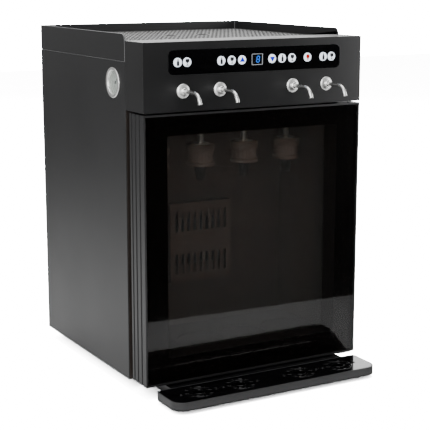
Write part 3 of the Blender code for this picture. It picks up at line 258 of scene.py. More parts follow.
chrome = metal("chrome_plate", "#e4e4e2", "#f0f0ee", 0.22, scratch_mm=20.0, lift_mm=0.002)
satin_chrome = metal("satin_chrome_plate", "#e6e6e4", "#f2f2f0", 0.34, scratch_mm=6.0, lift_mm=0.003)
rolled_aluminium = metal("mill_finish_aluminium", "#9b9ea1", "#b4b7ba", 0.34, lines=(1.0, 0.05, 1.0))
zinc = metal("zinc_plated_steel", "#a9abaa", "#c3c4c0", 0.30, scratch_mm=3.0)
brass = metal("turned_brass", "#b08d4c", "#c9a862", 0.24, lines=(1.0, 0.2, 1.0))
fin_aluminium = metal("extruded_aluminium", "#7f8386", "#9a9ea1", 0.42, lines=(1.0, 1.0, 0.04))

# %% [markdown]
# ## Rubber and foam
# EPDM rubber is matt and slightly dusty. The feet, the gasket and the bottle mat are made of it. The foam
# between the liner and the case is sprayed polyurethane, with open cells of about 2 mm where it is cut.

# %% Soft and cellular materials


def matt(name, shade, light, roughness, cell_mm, lift_mm):
    """Rubber or foam: open cells, and dust over them."""
    material, tree, place = start_material(name)
    cells = add(tree, "TexVoronoi", {"Scale": per_mm(cell_mm)}, {"Vector": place})
    dust = add(tree, "TexNoise", {"Scale": per_mm(25), "Detail": 6.0}, {"Vector": place})
    tone = add(tree, "ValToRGB", None, {"Fac": dust}, [(0.35, shade), (0.8, light)])
    bump = add(tree, "Bump", {"Strength": 0.5, "Distance": lift_mm * MM}, {"Height": cells})
    fixed = {"Roughness": roughness, "Sheen Weight": 0.05}
    shader = add(tree, "BsdfPrincipled", fixed, {"Base Color": tone, "Normal": bump})
    add(tree, "OutputMaterial", None, {"Surface": shader})
    return material


epdm = matt("epdm_rubber", "#090909", "#121211", 0.72, 0.9, 0.02)
foam = matt("polyurethane_foam", "#c8a86a", "#dcc48e", 0.9, 2.0, 0.3)

# %% [markdown]
# ## Glass
# The door has two panes. The front one is tinted float glass, which a dark room behind it turns almost black.
# Light that goes through loses most of its strength. A pane this thin hardly bends what is seen through it, so
# it is drawn as a see-through sheet with a true mirror layer. That keeps the glass free of grain, and light
# still reaches the chamber.

# %% Glass


def thin_glass(name, tint, opacity, roughness=0.02):
    """A clear or tinted pane, see-through by its opacity."""
    material, tree, place = start_material(name)
    film = add(tree, "TexNoise", {"Scale": per_mm(80), "Detail": 3.0}, {"Vector": place})
    gloss = add(tree, "MapRange", {"To Min": roughness * 0.6, "To Max": roughness * 1.6}, {"Value": film})
    fixed = {"Base Color": linear(tint), "IOR": 1.52, "Alpha": opacity}
    shader = add(tree, "BsdfPrincipled", fixed, {"Roughness": gloss})
    add(tree, "OutputMaterial", None, {"Surface": shader})
    return material


tinted_glass = thin_glass("tinted_float_glass", "#0b0807", 0.42)
clear_glass = thin_glass("clear_float_glass", "#e6efec", 0.08)
gauge_glass = thin_glass("gauge_lens_glass", "#cfd8d2", 0.16, roughness=0.03)

# %% [markdown]
# ## Printed and lit finishes
# The black border of the door is ceramic frit, baked on the back of the front pane. The keys and the display
# are lit from behind, so their colour is given out rather than reflected. Each lamp keeps a dark body colour,
# because an unlit part of it still reflects.

# %% Printed and lit finishes


def printed(name, shade, roughness):
    """A printed film, with a slightly uneven load of ink."""
    material, tree, place = start_material(name)
    screen = add(tree, "TexNoise", {"Scale": per_mm(1.5), "Detail": 1.0}, {"Vector": place})
    load = add(tree, "MapRange", {"To Min": 0.85, "To Max": 1.15}, {"Value": screen})
    tone = add(tree, "HueSaturation", {"Color": linear(shade)}, {"Value": load})
    gloss = add(tree, "MapRange", {"To Min": roughness, "To Max": roughness + 0.1}, {"Value": screen})
    shader = add(tree, "BsdfPrincipled", None, {"Base Color": tone, "Roughness": gloss})
    add(tree, "OutputMaterial", None, {"Surface": shader})
    return material


def lit(name, body, glow, strength, patch_mm=6.0):
    """A face lit from behind, with a body colour for when it is off."""
    material, tree, place = start_material(name)
    patch = add(tree, "TexNoise", {"Scale": per_mm(patch_mm), "Detail": 1.0}, {"Vector": place})
    load = add(tree, "MapRange", {"To Min": 0.9, "To Max": 1.1}, {"Value": patch})
    tone = add(tree, "HueSaturation", {"Color": linear(glow)}, {"Value": load})
    fixed = {"Base Color": linear(body), "Roughness": 0.25, "Emission Strength": strength}
    shader = add(tree, "BsdfPrincipled", fixed, {"Emission Color": tone})
    add(tree, "OutputMaterial", None, {"Surface": shader})
    return material


frit = printed("black_ceramic_frit", "#030303", 0.12)
icon_ink = printed("black_icon_ink", "#0b0e18", 0.4)
dial_card = printed("painted_dial", "#c9cfc9", 0.5)
dial_ink = printed("black_dial_ink", "#17181a", 0.5)
needle_enamel = printed("black_needle_enamel", "#121212", 0.35)
dark_segment = printed("unlit_led_segment", "#0a0d16", 0.3)
blue_ink = lit("blue_lit_icon", "#0618c8", "#0416ff", 0.35)
red_ink = lit("red_lit_icon", "#a80e0e", "#ff100a", 0.3)
white_lamp = lit("lit_key_face", "#e6edf4", "#eaf3ff", 1.7)
segment = lit("blue_led_segment", "#0a1c4a", "#2f80ff", 2.4)
diffuser = lit("frosted_diffuser", "#e9e4d6", "#ffdcba", 7.0)
print(len(bpy.data.materials), "materials")

# %% [markdown]
# ## Finishing the solids that stay
# A frame solid has knife-sharp edges, and no real sheet or moulding does. Each kept node gets modifiers that
# leave its mesh as it is: one joins the doubled points, one merges the triangles of each flat face, one rounds
# the edges, and two set the shading so that flats look flat and the round edge carries the highlight.

# %% Ease the edges of a kept node
even = bpy.data.node_groups.new("even_shading", "GeometryNodeTree")
even.interface.new_socket("Geometry", in_out="INPUT", socket_type="NodeSocketGeometry")
even.interface.new_socket("Geometry", in_out="OUTPUT", socket_type="NodeSocketGeometry")
smooth_all = even.nodes.new("GeometryNodeSetShadeSmooth")
even.links.new(even.nodes.new("NodeGroupInput").outputs[0], smooth_all.inputs[0])
even.links.new(smooth_all.outputs[0], even.nodes.new("NodeGroupOutput").inputs[0])


def round_edges(piece, width_mm, angle=30):
    """Rounds every edge sharper than the angle, in degrees, and shades the result evenly."""
    bevel = piece.modifiers.new("round_edges", "BEVEL")
    bevel.width = width_mm * MM
    bevel.segments = 2
    bevel.limit_method = "ANGLE"
    bevel.angle_limit = radians(angle)
    bevel.use_clamp_overlap = True
    piece.modifiers.new("even_shading", "NODES").node_group = even
    piece.modifiers.new("flat_faces", "WEIGHTED_NORMAL")


def finish_node(node, material, width_mm=0.0, edge=None):
    """Gives a kept node its finish and, with a width, rounded edges, which may carry a painted highlight colour."""
    piece = NODES[node]
    for held in piece.material_slots:
        held.material = material
    if width_mm:
        piece.modifiers.new("join_points", "WELD").merge_threshold = 0.01 * MM
        merge = piece.modifiers.new("merge_flats", "DECIMATE")
        merge.decimate_type = "DISSOLVE"
        merge.angle_limit = radians(0.6)
        round_edges(piece, width_mm)
    # The edge finish, when given, is a painted highlight on the rounded edges.
    if edge:
        piece.data.materials.append(edge)
        piece.modifiers["round_edges"].material = len(piece.material_slots) - 1


# %% Which node has which finish
FINISHES = {
    powder_coat: {"left_side_panel": 0.5, "right_side_panel": 0.5, "gallery_rail": 0.5, "base_plate": 0.3,
                  "rear_panel": 0.25},
    hood_coat: {"hood_shell": 0.7},
    tray_coat: {"tray_rim": 0.35},
    tray_gloss: {"drip_cover": 0.25, "drip_tray": 0.4},
    textured_abs: {"door_frame": 0.5, "head_rail": 0.5, "power_inlet": 0.4},
    liner_abs: {"inner_liner": 0.3},
    duct_abs: {"duct_cover": 0.3},
    fan_plastic: {"fan_frame": 0.4, "fan_rotor": 0.2},
    acrylic: {"control_panel": 0.15},
    epdm: {"bottle_mat": 0.4, "door_gasket": 1.5},
    zinc: {"lower_hinge": 0.4, "upper_hinge": 0.4, "service_shelf": 0.0, "power_supply": 0.6},
    fin_aluminium: {"hot_sink": 0.0, "cold_sink": 0.0},
    rolled_aluminium: {"valve_block": 0.4},
    board_mask: {"control_board": 0.0},
    foam: {"insulation": 0.0},
    tinted_glass: {"door_outer_glass": 0.4},
    clear_glass: {"door_inner_glass": 0.4},
}
# These two get the painted highlight colour on their rounded edges.
HIGHLIGHT_EDGES = ("gallery_rail", "hood_shell")
for finish, nodes in FINISHES.items():
    for node, width_mm in nodes.items():
        finish_node(node, finish, width_mm, painted_highlight_coat if node in HIGHLIGHT_EDGES else None)
print(sum(len(nodes) for nodes in FINISHES.values()), "nodes kept, of", len(NODES))

# %% [markdown]
# ## A kit for new pieces
# Nearly everything round, bent or framed can be made as a loft: a row of rings with the same number of points,
# joined by quads. A turned part is a loft of circles, a plate is a loft of two outlines, a tube is a loft along
# a path, and a ring or frame is a loft whose last ring joins the first. One class gathers such shapes, each
# in its own local frame, and makes them into one object with several finishes.

# %% Local frames
FRONT = Matrix(((1, 0, 0), (0, 0, -1), (0, 1, 0))).to_4x4()
LEFT = Matrix(((0, 0, -1), (-1, 0, 0), (0, 1, 0))).to_4x4()
BACK = Matrix(((-1, 0, 0), (0, 0, 1), (0, 1, 0))).to_4x4()
UP = Matrix.Identity(4)
DOWN = Matrix(((1, 0, 0), (0, -1, 0), (0, 0, -1))).to_4x4()


def at(x, y, z, facing=UP):
    """A local frame at a point: its w axis is the way that the named side faces."""
    return Matrix.Translation((x, y, z)) @ facing



class Build:
    """Gathers closed shapes and makes them into one piece."""

    def __init__(self):
        self.points, self.faces, self.inks = [], [], []

    def loft(self, rings, place=UP, ink=0, loop=False):
        """Joins rings of equal count. The ends are closed, unless the last ring joins the first."""
        count, first = len(rings[0]), len(self.points)
        self.points += [place @ Vector(p) for ring in rings for p in ring]
        faces = []
        for r in range(len(rings) if loop else len(rings) - 1):
            a, b = first + r * count, first + (r + 1) % len(rings) * count
            faces += [(a + i, a + (i + 1) % count, b + (i + 1) % count, b + i) for i in range(count)]
        if not loop:
            last = first + (len(rings) - 1) * count
            faces += [tuple(first + i for i in reversed(range(count))), tuple(last + i for i in range(count))]
        self.faces += faces
        self.inks += [ink] * len(faces)
        return self

    def turned(self, profile, place=UP, ink=0, steps=40, loop=False, flutes=0, depth=0.0):
        """A profile of (radius, height) pairs in millimetres, turned about w, with flutes cut if asked."""
        rings = []
        for radius, height in profile:
            ring = []
            for i in range(steps):
                turn = tau * i / steps
                reach = (radius - depth * (0.5 + 0.5 * cos(flutes * turn)) * (flutes > 0)) * MM
                ring.append((reach * cos(turn), reach * sin(turn), height * MM))
            rings.append(ring)
        return self.loft(rings, place, ink, loop)

    def plate(self, outline, low, high, place=UP, ink=0):
        """An outline in millimetres, between two heights."""
        return self.loft([[(u * MM, v * MM, h * MM) for u, v in outline] for h in (low, high)], place, ink)

    def frame(self, outer, inner, low, high, place=UP, ink=0):
        """A flat frame between two outlines with the same number of points."""
        rings = [(outer, low), (outer, high), (inner, high), (inner, low)]
        return self.loft([[(u * MM, v * MM, h * MM) for u, v in line] for line, h in rings], place, ink, loop=True)

    def make(self, name, body, slot, finishes, crease=38):
        """Makes the object, with its normals outward and its creases sharp."""
        mesh = bpy.data.meshes.new(name)
        mesh.from_pydata(self.points, [], self.faces)
        for finish in finishes:
            mesh.materials.append(finish)
        mesh.polygons.foreach_set("material_index", self.inks)
        work = bmesh.new()
        work.from_mesh(mesh)
        bmesh.ops.recalc_face_normals(work, faces=work.faces)
        work.to_mesh(mesh)
        work.free()
        mesh.polygons.foreach_set("use_smooth", [True] * len(mesh.polygons))
        mesh.set_sharp_from_angle(angle=radians(crease))
        piece = bpy.data.objects.new(name, mesh)
        bpy.context.scene.collection.objects.link(piece)
        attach(piece, body)
        print(f"{name}: {len(self.faces)} faces, on {body}")
        return piece


def rounded(width, height, radius, steps=6):
    """A rectangle about the origin with rounded corners, in millimetres."""
    corners = [(1, 1, 0), (-1, 1, 90), (-1, -1, 180), (1, -1, 270)]
    line = []
    for u, v, first in corners:
        for i in range(steps + 1):
            turn = radians(first + 90 * i / steps)
            reach_u, reach_v = width / 2 - radius, height / 2 - radius
            line.append((u * reach_u + radius * cos(turn), v * reach_v + radius * sin(turn)))
    return line


# %% [markdown]
# ## Perforated deck
# The top is a loose sheet of punched steel: round holes of 5 mm on a 60 degree pitch of 8 mm, with a plain
# border and two finger holes to lift it by. A texture would not do, because the holes show their depth at this
# low angle. Each hole is cut in a cell of six five-sided faces, and every second row is shifted by half a cell,
# so that neighbours share their points. A solidify modifier gives the sheet its thickness. The places of the
# finger holes repeat the frame's, because a hole has no box to read.

# %% Deck sheet
PITCH = 8.0 * MM
ROW = PITCH * sqrt(3) / 2
HOLE = 2.5 * MM
FINGER_X, FINGER_Y = 0.0315, 0.0645
FINGER_RADIUS = 7.6 * MM
BORDER = 14 * MM  # both sides together
PATCH_X, PATCH_Y = 13.5 * MM, 11.5 * MM  # half the plain patch about a finger hole
PATCH_REACH = 24 * MM  # takes in the patch's edge
FINGER_STEPS = 32

columns = int((deck.size.x - BORDER) / PITCH)
rows = int((deck.size.y - BORDER) / ROW)
origin = deck.middle - Vector((columns * PITCH / 2, rows * ROW / 2, 0.0))
sheet = bmesh.new()
grid = {}


def corner(i, j):
    """The shared point at half-pitch i along row line j."""
    if (i, j) not in grid:
        grid[i, j] = sheet.verts.new((origin.x + i * PITCH / 2, origin.y + j * ROW, deck.high.z))
    return grid[i, j]


def near_finger_hole(x, y):
    """Whether a cell's middle is in the plain patch about a finger hole."""
    return abs(abs(x) - FINGER_X) < PATCH_X and abs(y - FINGER_Y) < PATCH_Y


for j in range(rows):
    shift = j % 2
    for k in range(columns - shift):
        i = 2 * k + shift
        x, y = origin.x + (i + 1) * PITCH / 2, origin.y + (j + 0.5) * ROW
        if near_finger_hole(x, y):
            continue
        edge = [corner(i, j), corner(i + 1, j), corner(i + 2, j)]
        edge += [corner(i + 2, j + 1), corner(i + 1, j + 1), corner(i, j + 1)]
        turns = [radians(210 + 30 * n) for n in range(12)]
        rim = [sheet.verts.new((x + HOLE * cos(t), y + HOLE * sin(t), deck.high.z)) for t in turns]
        for m in range(6):
            n = 2 * m
            sheet.faces.new((edge[m], edge[(m + 1) % 6], rim[(n + 2) % 12], rim[n + 1], rim[n]))
    if shift:
        for i in (0, 2 * columns - 1):
            sheet.faces.new((corner(i, j), corner(i + 1, j), corner(i + 1, j + 1), corner(i, j + 1)))

# %% Deck border and finger holes
low_left = sheet.verts.new((deck.low.x, deck.low.y, deck.high.z))
low_right = sheet.verts.new((deck.high.x, deck.low.y, deck.high.z))
high_right = sheet.verts.new((deck.high.x, deck.high.y, deck.high.z))
high_left = sheet.verts.new((deck.low.x, deck.high.y, deck.high.z))
across = range(2 * columns + 1)
sheet.faces.new([low_left, low_right] + [corner(i, 0) for i in reversed(across)])
sheet.faces.new([high_right, high_left] + [corner(i, rows) for i in across])
sheet.faces.new([high_left, low_left] + [corner(0, j) for j in range(rows + 1)])
sheet.faces.new([low_right, high_right] + [corner(2 * columns, j) for j in reversed(range(rows + 1))])
for side in (-1, 1):
    middle = Vector((side * FINGER_X, FINGER_Y, deck.high.z))
    around = [e for e in sheet.edges if len(e.link_faces) == 1
              and all((v.co - middle).length < PATCH_REACH and v in grid.values() for v in e.verts)]
    turns = [tau * i / FINGER_STEPS for i in range(FINGER_STEPS)]
    ring = [sheet.verts.new(middle + Vector((cos(t), sin(t), 0)) * FINGER_RADIUS) for t in turns]
    circle = [sheet.edges.new((ring[i], ring[(i + 1) % FINGER_STEPS])) for i in range(FINGER_STEPS)]
    bmesh.ops.triangle_fill(sheet, use_beauty=True, edges=around + circle)
bmesh.ops.recalc_face_normals(sheet, faces=sheet.faces)
if sum(f.normal.z for f in sheet.faces) < 0:
    bmesh.ops.reverse_faces(sheet, faces=sheet.faces)
mesh = bpy.data.meshes.new("punched_deck")
sheet.to_mesh(mesh)
sheet.free()
mesh.materials.append(deck_coat)
punched_deck = bpy.data.objects.new("punched_deck", mesh)
bpy.context.scene.collection.objects.link(punched_deck)
thicken = punched_deck.modifiers.new("sheet_thickness", "SOLIDIFY")
thicken.thickness = deck.size.z
thicken.offset = -1.0
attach(punched_deck, "deck")
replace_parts(punched_deck, "top_grille")
print(rows, "rows of", columns, "holes, one fewer in every second row")

# %% Finger-hole grommets
grommets = Build()
for side in (-1, 1):
    lip = [(7.6, -1.6), (7.6, 0.35), (8.0, 0.7), (9.4, 0.7), (9.9, 0.3), (9.9, 0.05), (8.3, 0.02), (8.3, -1.6)]
    grommets.turned(lip, at(side * FINGER_X, FINGER_Y, deck.high.z), loop=True)
grommets.make("deck_grommets", "deck", "steel_deck", [textured_abs])

# %% [markdown]
# ## Keys
# Each key is a milky cap, about 14 mm across and slightly domed, that is lit from behind and printed with a
# small picture: a bottle, a glass, an arrow or a lamp. The picture is a film of ink, so it is made as a thin
# plate that stands 0.06 mm proud. A key rides on its own body, because each one can be pressed.

# %% Pictures for the keys, in millimetres


def disc(u, v, radius, steps=24):
    """A circle's outline."""
    return [(u + radius * cos(tau * i / steps), v + radius * sin(tau * i / steps)) for i in range(steps)]


def bar(u, v, width, height):
    """A rectangle's outline about its middle."""
    return [(u - width / 2, v - height / 2), (u + width / 2, v - height / 2),
            (u + width / 2, v + height / 2), (u - width / 2, v + height / 2)]


def mirrored(half):
    """A whole outline from its right half, listed from the bottom up."""
    return half + [(-u, v) for u, v in reversed(half)]


BOTTLE = [(0, mirrored([(2.0, -5.2), (2.15, -4.8), (2.15, 0.6), (1.7, 1.7), (1.0, 2.4), (0.95, 5.3)]))]
GLASS = [(0, mirrored([(2.5, -5.1), (2.4, -4.2), (0.55, -3.7), (0.55, -1.1), (1.9, -0.6), (3.1, 0.7), (3.4, 2.4),
                       (3.0, 4.9)]))]
UP_ARROW = [(1, [(-4.9, -3.0), (4.9, -3.0), (0.0, 5.1)])]
DOWN_ARROW = [(1, [(-4.9, 3.0), (0.0, -5.1), (4.9, 3.0)])]
LAMP = [(2, disc(0, 1.5, 3.3)), (2, bar(0, -2.2, 3.2, 1.2)), (2, bar(0, -3.7, 2.6, 1.0)), (2, bar(0, -5.0, 1.6, 0.8))]

# %% Key caps
PICTURES = {"up_key": UP_ARROW, "down_key": DOWN_ARROW, "light_key": LAMP}
PICTURES |= {f"bottle_key_{n}": BOTTLE for n in (1, 2, 3, 4)}
PICTURES |= {f"glass_key_{n}": GLASS for n in (1, 2, 3, 4)}
for key, picture in PICTURES.items():
    spot = Place(key)
    radius, tall = spot.size.x / 2 / MM - 0.35, spot.size.y / MM
    back = at(spot.middle.x, spot.high.y, spot.middle.z, FRONT)
    cap = Build()
    side = [(radius - 0.25, 0.0), (radius, 0.25), (radius, tall - 0.75), (radius - 0.2, tall - 0.4)]
    top = [(radius - 0.7, tall - 0.18), (radius * 0.6, tall - 0.06), (radius * 0.25, tall)]
    cap.turned(side + top, back)
    for ink, outline in picture:
        cap.plate(outline, tall - 0.3, tall + 0.06, back, ink + 1)
    made = cap.make(key + "_cap", key, "white_key", [white_lamp, icon_ink, blue_ink, red_ink], crease=50)
    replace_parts(made, key)
print(len(PICTURES), "keys")

# %% [markdown]
# ## Display
# A two-digit, seven-segment module sits in the middle of the panel behind a pale rim. The left digit is off
# and the right one is lit, so both are needed: an unlit segment still shows as a darker shape. Each segment is
# a long hexagon, as in the real part.

# %% Display module
shown = Place("display_module")
front_of_display = at(shown.middle.x, shown.low.y, shown.middle.z, FRONT)
wide, high = shown.size.x / MM, shown.size.z / MM


def stroke(u, v, length, upright, middle, thick=0.8, lean=0.12):
    """One segment of a leaning digit: a hexagon about its middle."""
    a, b = length / 2, thick / 2
    line = [(-a, 0), (-a + b, -b), (a - b, -b), (a, 0), (a - b, b), (-a + b, b)]
    line = [(u - q, v + p) if upright else (u + p, v + q) for p, q in line]
    return [(middle + p + lean * q, q) for p, q in line]


display = Build()
display.plate(rounded(wide - 0.3, high - 0.3, 1.2), -6.5, -0.5, front_of_display, 0)
display.frame(rounded(wide, high, 1.2), rounded(wide - 1.4, high - 1.4, 0.7), -0.6, 0.15, front_of_display, 1)
DIGIT_WIDE, DIGIT_HIGH = 4.8, 9.4
for u, ink in ((-5.0, 3), (1.9, 2)):
    half_u, half_v = DIGIT_WIDE / 2, DIGIT_HIGH / 4
    level = [(0.0, v, DIGIT_WIDE - 0.7, False) for v in (-2 * half_v, 0.0, 2 * half_v)]
    upright = [(s * half_u, v, DIGIT_HIGH / 2 - 0.7, True) for s in (-1, 1) for v in (-half_v, half_v)]
    for place in level + upright:
        display.plate(stroke(*place, u), -0.7, -0.42, front_of_display, ink)
face = display.make("digit_display", "cabinet", "blue_display", [acrylic, key_white, segment, dark_segment])
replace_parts(face, "display_module")

# %% [markdown]
# ## Spouts
# The four spouts are chromed tube, 6 mm across, that comes out of a disc on the hood, runs level and then
# turns down. The disc hides the hole, a small collar holds the tube, and the tip is a wider sleeve with a real
# bore. The tube is a loft of circles along a straight line, an arc and a short tail.

# %% Spouts
TUBE = 3.0
BEND = 17.0
BEND_ANGLE = radians(68)
TAIL = 6.0


def spout(node):
    """One spout as lofts, all in millimetres: the tube with its tip, its flange and its collar."""
    spot = Place(node)
    out = (hood.low.y - spot.low.y) / MM
    level = out - BEND * sin(BEND_ANGLE) - TAIL * cos(BEND_ANGLE) - TUBE * sin(BEND_ANGLE)
    axis = at((spot.low.x + spot.high.x) / 2, hood.low.y, spot.high.z - spot.size.x / 2, FRONT)
    path = [(0.0, 0.0, 0.0), (level * 0.5, 0.0, 0.0), (level, 0.0, 0.0)]
    for i in range(1, 13):
        turn = BEND_ANGLE * i / 12
        path.append((level + BEND * sin(turn), -BEND * (1 - cos(turn)), turn))
    end_w, end_v, turn = path[-1]

    def ring(w, v, turn, radius, steps=24):
        """A circle across the path, which runs in the plane of w and v."""
        line = []
        for i in range(steps):
            a = tau * i / steps
            up = radius * sin(a)
            line.append((radius * cos(a) * MM, (v + up * cos(turn)) * MM, (w + up * sin(turn)) * MM))
        return line

    def along(reach):
        """A point on the tail, this far past the end of the bend."""
        return end_w + reach * cos(turn), end_v - reach * sin(turn), turn

    rings = [ring(-6.0, 0.0, 0.0, TUBE)] + [ring(*point, TUBE) for point in path]
    sleeve = [(-3.5, TUBE), (-3.2, 3.3), (-2.8, 3.45), (TAIL - 0.6, 3.45), (TAIL, 3.1), (TAIL, 2.3), (-2.0, 2.3)]
    rings += [ring(*along(reach), radius) for reach, radius in sleeve]
    made = Build().loft(rings, axis)
    flange = [(3.1, -3.0), (10.6, -3.0), (10.6, 0.05), (11.2, 0.15), (11.2, 0.7), (10.8, 1.2), (9.6, 1.9), (7.8, 2.6)]
    made.turned(flange + [(5.6, 3.0), (3.1, 3.1)], axis, ink=1, loop=True)
    collar = [(3.0, 2.4), (5.2, 2.4), (5.4, 2.8), (5.4, 6.2), (4.9, 6.8), (3.9, 7.4), (3.0, 7.5)]
    made.turned(collar, axis, loop=True)
    return made


for n in (1, 2, 3, 4):
    made = spout(f"spout_{n}").make(f"chrome_spout_{n}", "cabinet", "chrome", [chrome, satin_chrome])
    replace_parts(made, f"spout_{n}")

# %% [markdown]
# ## Pressure gauge
# A gas gauge of this kind is a chromed cup pressed into the side: a wide, nearly flat bezel, a pale card with
# a scale, a black needle and a slightly domed glass. The bezel is turned from a closed profile. The scale has
# numbers from 0 to 6, which is a guess.

# %% Gauge case, card and scale
cup = Place("gauge_case")
lens = Place("gauge_lens")
needle = Place("gauge_needle")
lens_radius = lens.size.y / 2 / MM
gauge = at(lens.middle.x, lens.middle.y, lens.middle.z, LEFT)
wall = (cup.size.y / 2) / MM
CARD_LEVEL = -(needle.middle.x - lens.middle.x) / MM - 1.6
BEZEL_OUT = (lens.middle.x - cup.low.x) / MM
BEZEL_IN = -(Place("left_side_panel").low.x - lens.middle.x) / MM - 0.1

bezel = Build()
ring_profile = [(wall, BEZEL_IN), (wall, BEZEL_OUT - 0.9), (wall - 0.4, BEZEL_OUT - 0.3), (wall - 1.2, BEZEL_OUT)]
ring_profile += [(wall - 3.4, BEZEL_OUT), (wall - 4.6, BEZEL_OUT - 0.3), (wall - 5.3, BEZEL_OUT - 1.0)]
ring_profile += [(lens_radius + 0.05, BEZEL_OUT - 1.4), (lens_radius + 0.05, CARD_LEVEL)]
ring_profile += [(lens_radius + 0.9, CARD_LEVEL)]
ring_profile += [(lens_radius + 0.9, BEZEL_IN)]
bezel.turned(ring_profile, gauge, steps=72, loop=True)
bezel.turned([(lens_radius + 0.8, CARD_LEVEL - 16), (lens_radius + 0.8, CARD_LEVEL - 0.6)], gauge, steps=48)
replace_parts(bezel.make("gauge_bezel", "cabinet", "chrome", [satin_chrome], crease=50), "gauge_case")

SCALE_START, SCALE_SPAN = radians(225), radians(270)
MARKS, MARKS_PER_NUMBER = 30, 5
ARC_OUT, ARC_IN, ARC_STEPS = 16.6, 16.3, 60
NUMBER_RING, NUMBER_HIGH = 10.6, 4.4
card = Build()
card.turned([(lens_radius, CARD_LEVEL - 0.5), (lens_radius, CARD_LEVEL)], gauge, steps=64)
for i in range(MARKS + 1):
    turn = SCALE_START - SCALE_SPAN * i / MARKS
    long_mark = i % MARKS_PER_NUMBER == 0
    reach, length, thick = (14.6, 3.4, 0.5) if long_mark else (15.3, 2.0, 0.26)
    spin = gauge @ Matrix.Rotation(turn, 4, "Z")
    card.plate(bar(reach, 0, length, thick), CARD_LEVEL - 0.1, CARD_LEVEL + 0.05, spin, 1)
arc = [SCALE_START - SCALE_SPAN * i / ARC_STEPS for i in range(ARC_STEPS + 1)]
outer = [(ARC_OUT * cos(t), ARC_OUT * sin(t)) for t in arc]
inner = [(ARC_IN * cos(t), ARC_IN * sin(t)) for t in arc]
card.plate(outer + inner[::-1], CARD_LEVEL - 0.1, CARD_LEVEL + 0.05, gauge, 1)
card.make("gauge_card", "cabinet", "white_key", [dial_card, dial_ink])

# %% Numbers on the scale
for n in range(7):
    turn = SCALE_START - SCALE_SPAN * n / 6
    text = bpy.data.curves.new(f"scale_number_{n}", "FONT")
    text.body, text.size, text.extrude = str(n), NUMBER_HIGH * MM, 0.04 * MM
    text.align_x, text.align_y = "CENTER", "CENTER"
    text.materials.append(dial_ink)
    mark = bpy.data.objects.new(f"scale_number_{n}", text)
    bpy.context.scene.collection.objects.link(mark)
    spot = (NUMBER_RING * cos(turn) * MM, NUMBER_RING * sin(turn) * MM, (CARD_LEVEL + 0.04) * MM)
    mark.matrix_world = gauge @ Matrix.Translation(spot)
    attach(mark, "cabinet")

# %% Needle and glass
pointer = Build()
hub = gauge @ Matrix.Rotation(radians(45), 4, "Z")
level = -(needle.middle.x - lens.middle.x) / MM
pointer.plate([(-4.2, -0.75), (4.0, -0.6), (14.5, -0.14), (14.5, 0.14), (4.0, 0.6), (-4.2, 0.75)],
              level - 0.25, level + 0.25, hub)
pointer.turned([(2.1, level - 0.5), (2.2, level - 0.3), (2.2, level + 0.5), (1.8, level + 0.8)], hub)
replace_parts(pointer.make("gauge_pointer", "needle", "rubber", [needle_enamel]), "gauge_needle")

dome = [(lens_radius, -0.7), (lens_radius, -0.3)]
dome += [(lens_radius * cos(radians(a)), -0.3 + 1.1 * sin(radians(a))) for a in (15, 30, 45, 60, 75, 85)]
glass = Build().turned(dome, gauge, steps=64).make("gauge_glass", "cabinet", "clear_glass", [gauge_glass])
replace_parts(glass, "gauge_lens")

# %% [markdown]
# ## Frit border
# Behind the front pane, a black border hides the door's frame and its glue. It is a thin printed layer, so it
# is a flat frame between the pane's outline and the window's.

# %% Frit border
WINDOW_SIDE, WINDOW_TOP, WINDOW_FOOT = 42.0, 34.0, 42.0
window_wide = door.size.x / MM - 2 * WINDOW_SIDE
window_high = door.size.z / MM - WINDOW_TOP - WINDOW_FOOT
window_shift = (WINDOW_FOOT - WINDOW_TOP) / 2
border = Build()
pane_line = rounded(pane.size.x / MM, pane.size.z / MM, 1.0, 3)
window_line = [(u, v + window_shift) for u, v in rounded(window_wide, window_high, 3.0, 3)]
border.frame(pane_line, window_line, -0.2, -0.05, at(pane.middle.x, pane.high.y, pane.middle.z, FRONT))
border.make("frit_border", "door", "black_plastic", [frit])

# %% [markdown]
# ## Drains
# The drip cover has four rosettes of holes, each with a raised, rounded lip that sends a drop into it. The lips
# matter more than the holes: on a black gloss sheet only a slope catches the light. Each lip is a closed loft
# of four outlines around its hole.

# %% Drain lips
cover = Place("drip_cover")
DRAINS_X = (-0.133, -0.057, 0.057, 0.133)
SLOT_RING, SLOT_HALF_WIDTH, SLOT_HALF_TURN = 20.5, 2.4, radians(13.5)
LIP = [(1.0, -0.1), (0.6, 0.4), (0.2, 0.4), (0.0, -0.3)]


def curved_slot(turn, half_width, steps=6):
    """A slot's outline on the ring, with round ends."""
    line = []
    for side in (1, -1):
        for i in range(steps + 1):
            a = turn + side * SLOT_HALF_TURN * (2 * i / steps - 1)
            reach = SLOT_RING + side * half_width
            line.append((reach * cos(a), reach * sin(a)))
        end = turn + side * SLOT_HALF_TURN
        for i in range(1, steps):
            a = end + pi * i / steps + (0 if side == 1 else pi)
            line.append((SLOT_RING * cos(end) + half_width * cos(a), SLOT_RING * sin(end) + half_width * sin(a)))
    return line


lips = Build()
for x in DRAINS_X:
    drain = at(x, cover.middle.y, cover.high.z)
    lips.turned([(9.0 + out, up) for out, up in LIP], drain, loop=True)
    for reach in (-31.5, 31.5):
        dot = at(x + reach * MM, cover.middle.y, cover.high.z)
        lips.turned([(2.5 + out, up) for out, up in LIP], dot, steps=20, loop=True)
    for n in range(8):
        outlines = [(curved_slot(tau * (n + 0.5) / 8, SLOT_HALF_WIDTH + out), up) for out, up in LIP]
        lips.loft([[(u * MM, v * MM, up * MM) for u, v in line] for line, up in outlines], drain, loop=True)
lips.make("drain_lips", "tray_cover", "gloss_black", [tray_gloss], crease=60)

# %% [markdown]
# ## Dispensing heads
# Four heads hang over the bottles. Each is a grey nylon barrel with a waist to grip, a rubber stopper that
# seals the neck, and a steel rod with a washer, which slides up when a bottle is pushed in. They are turned
# from one profile each, and the grip has shallow flutes, about 5 mm apart.

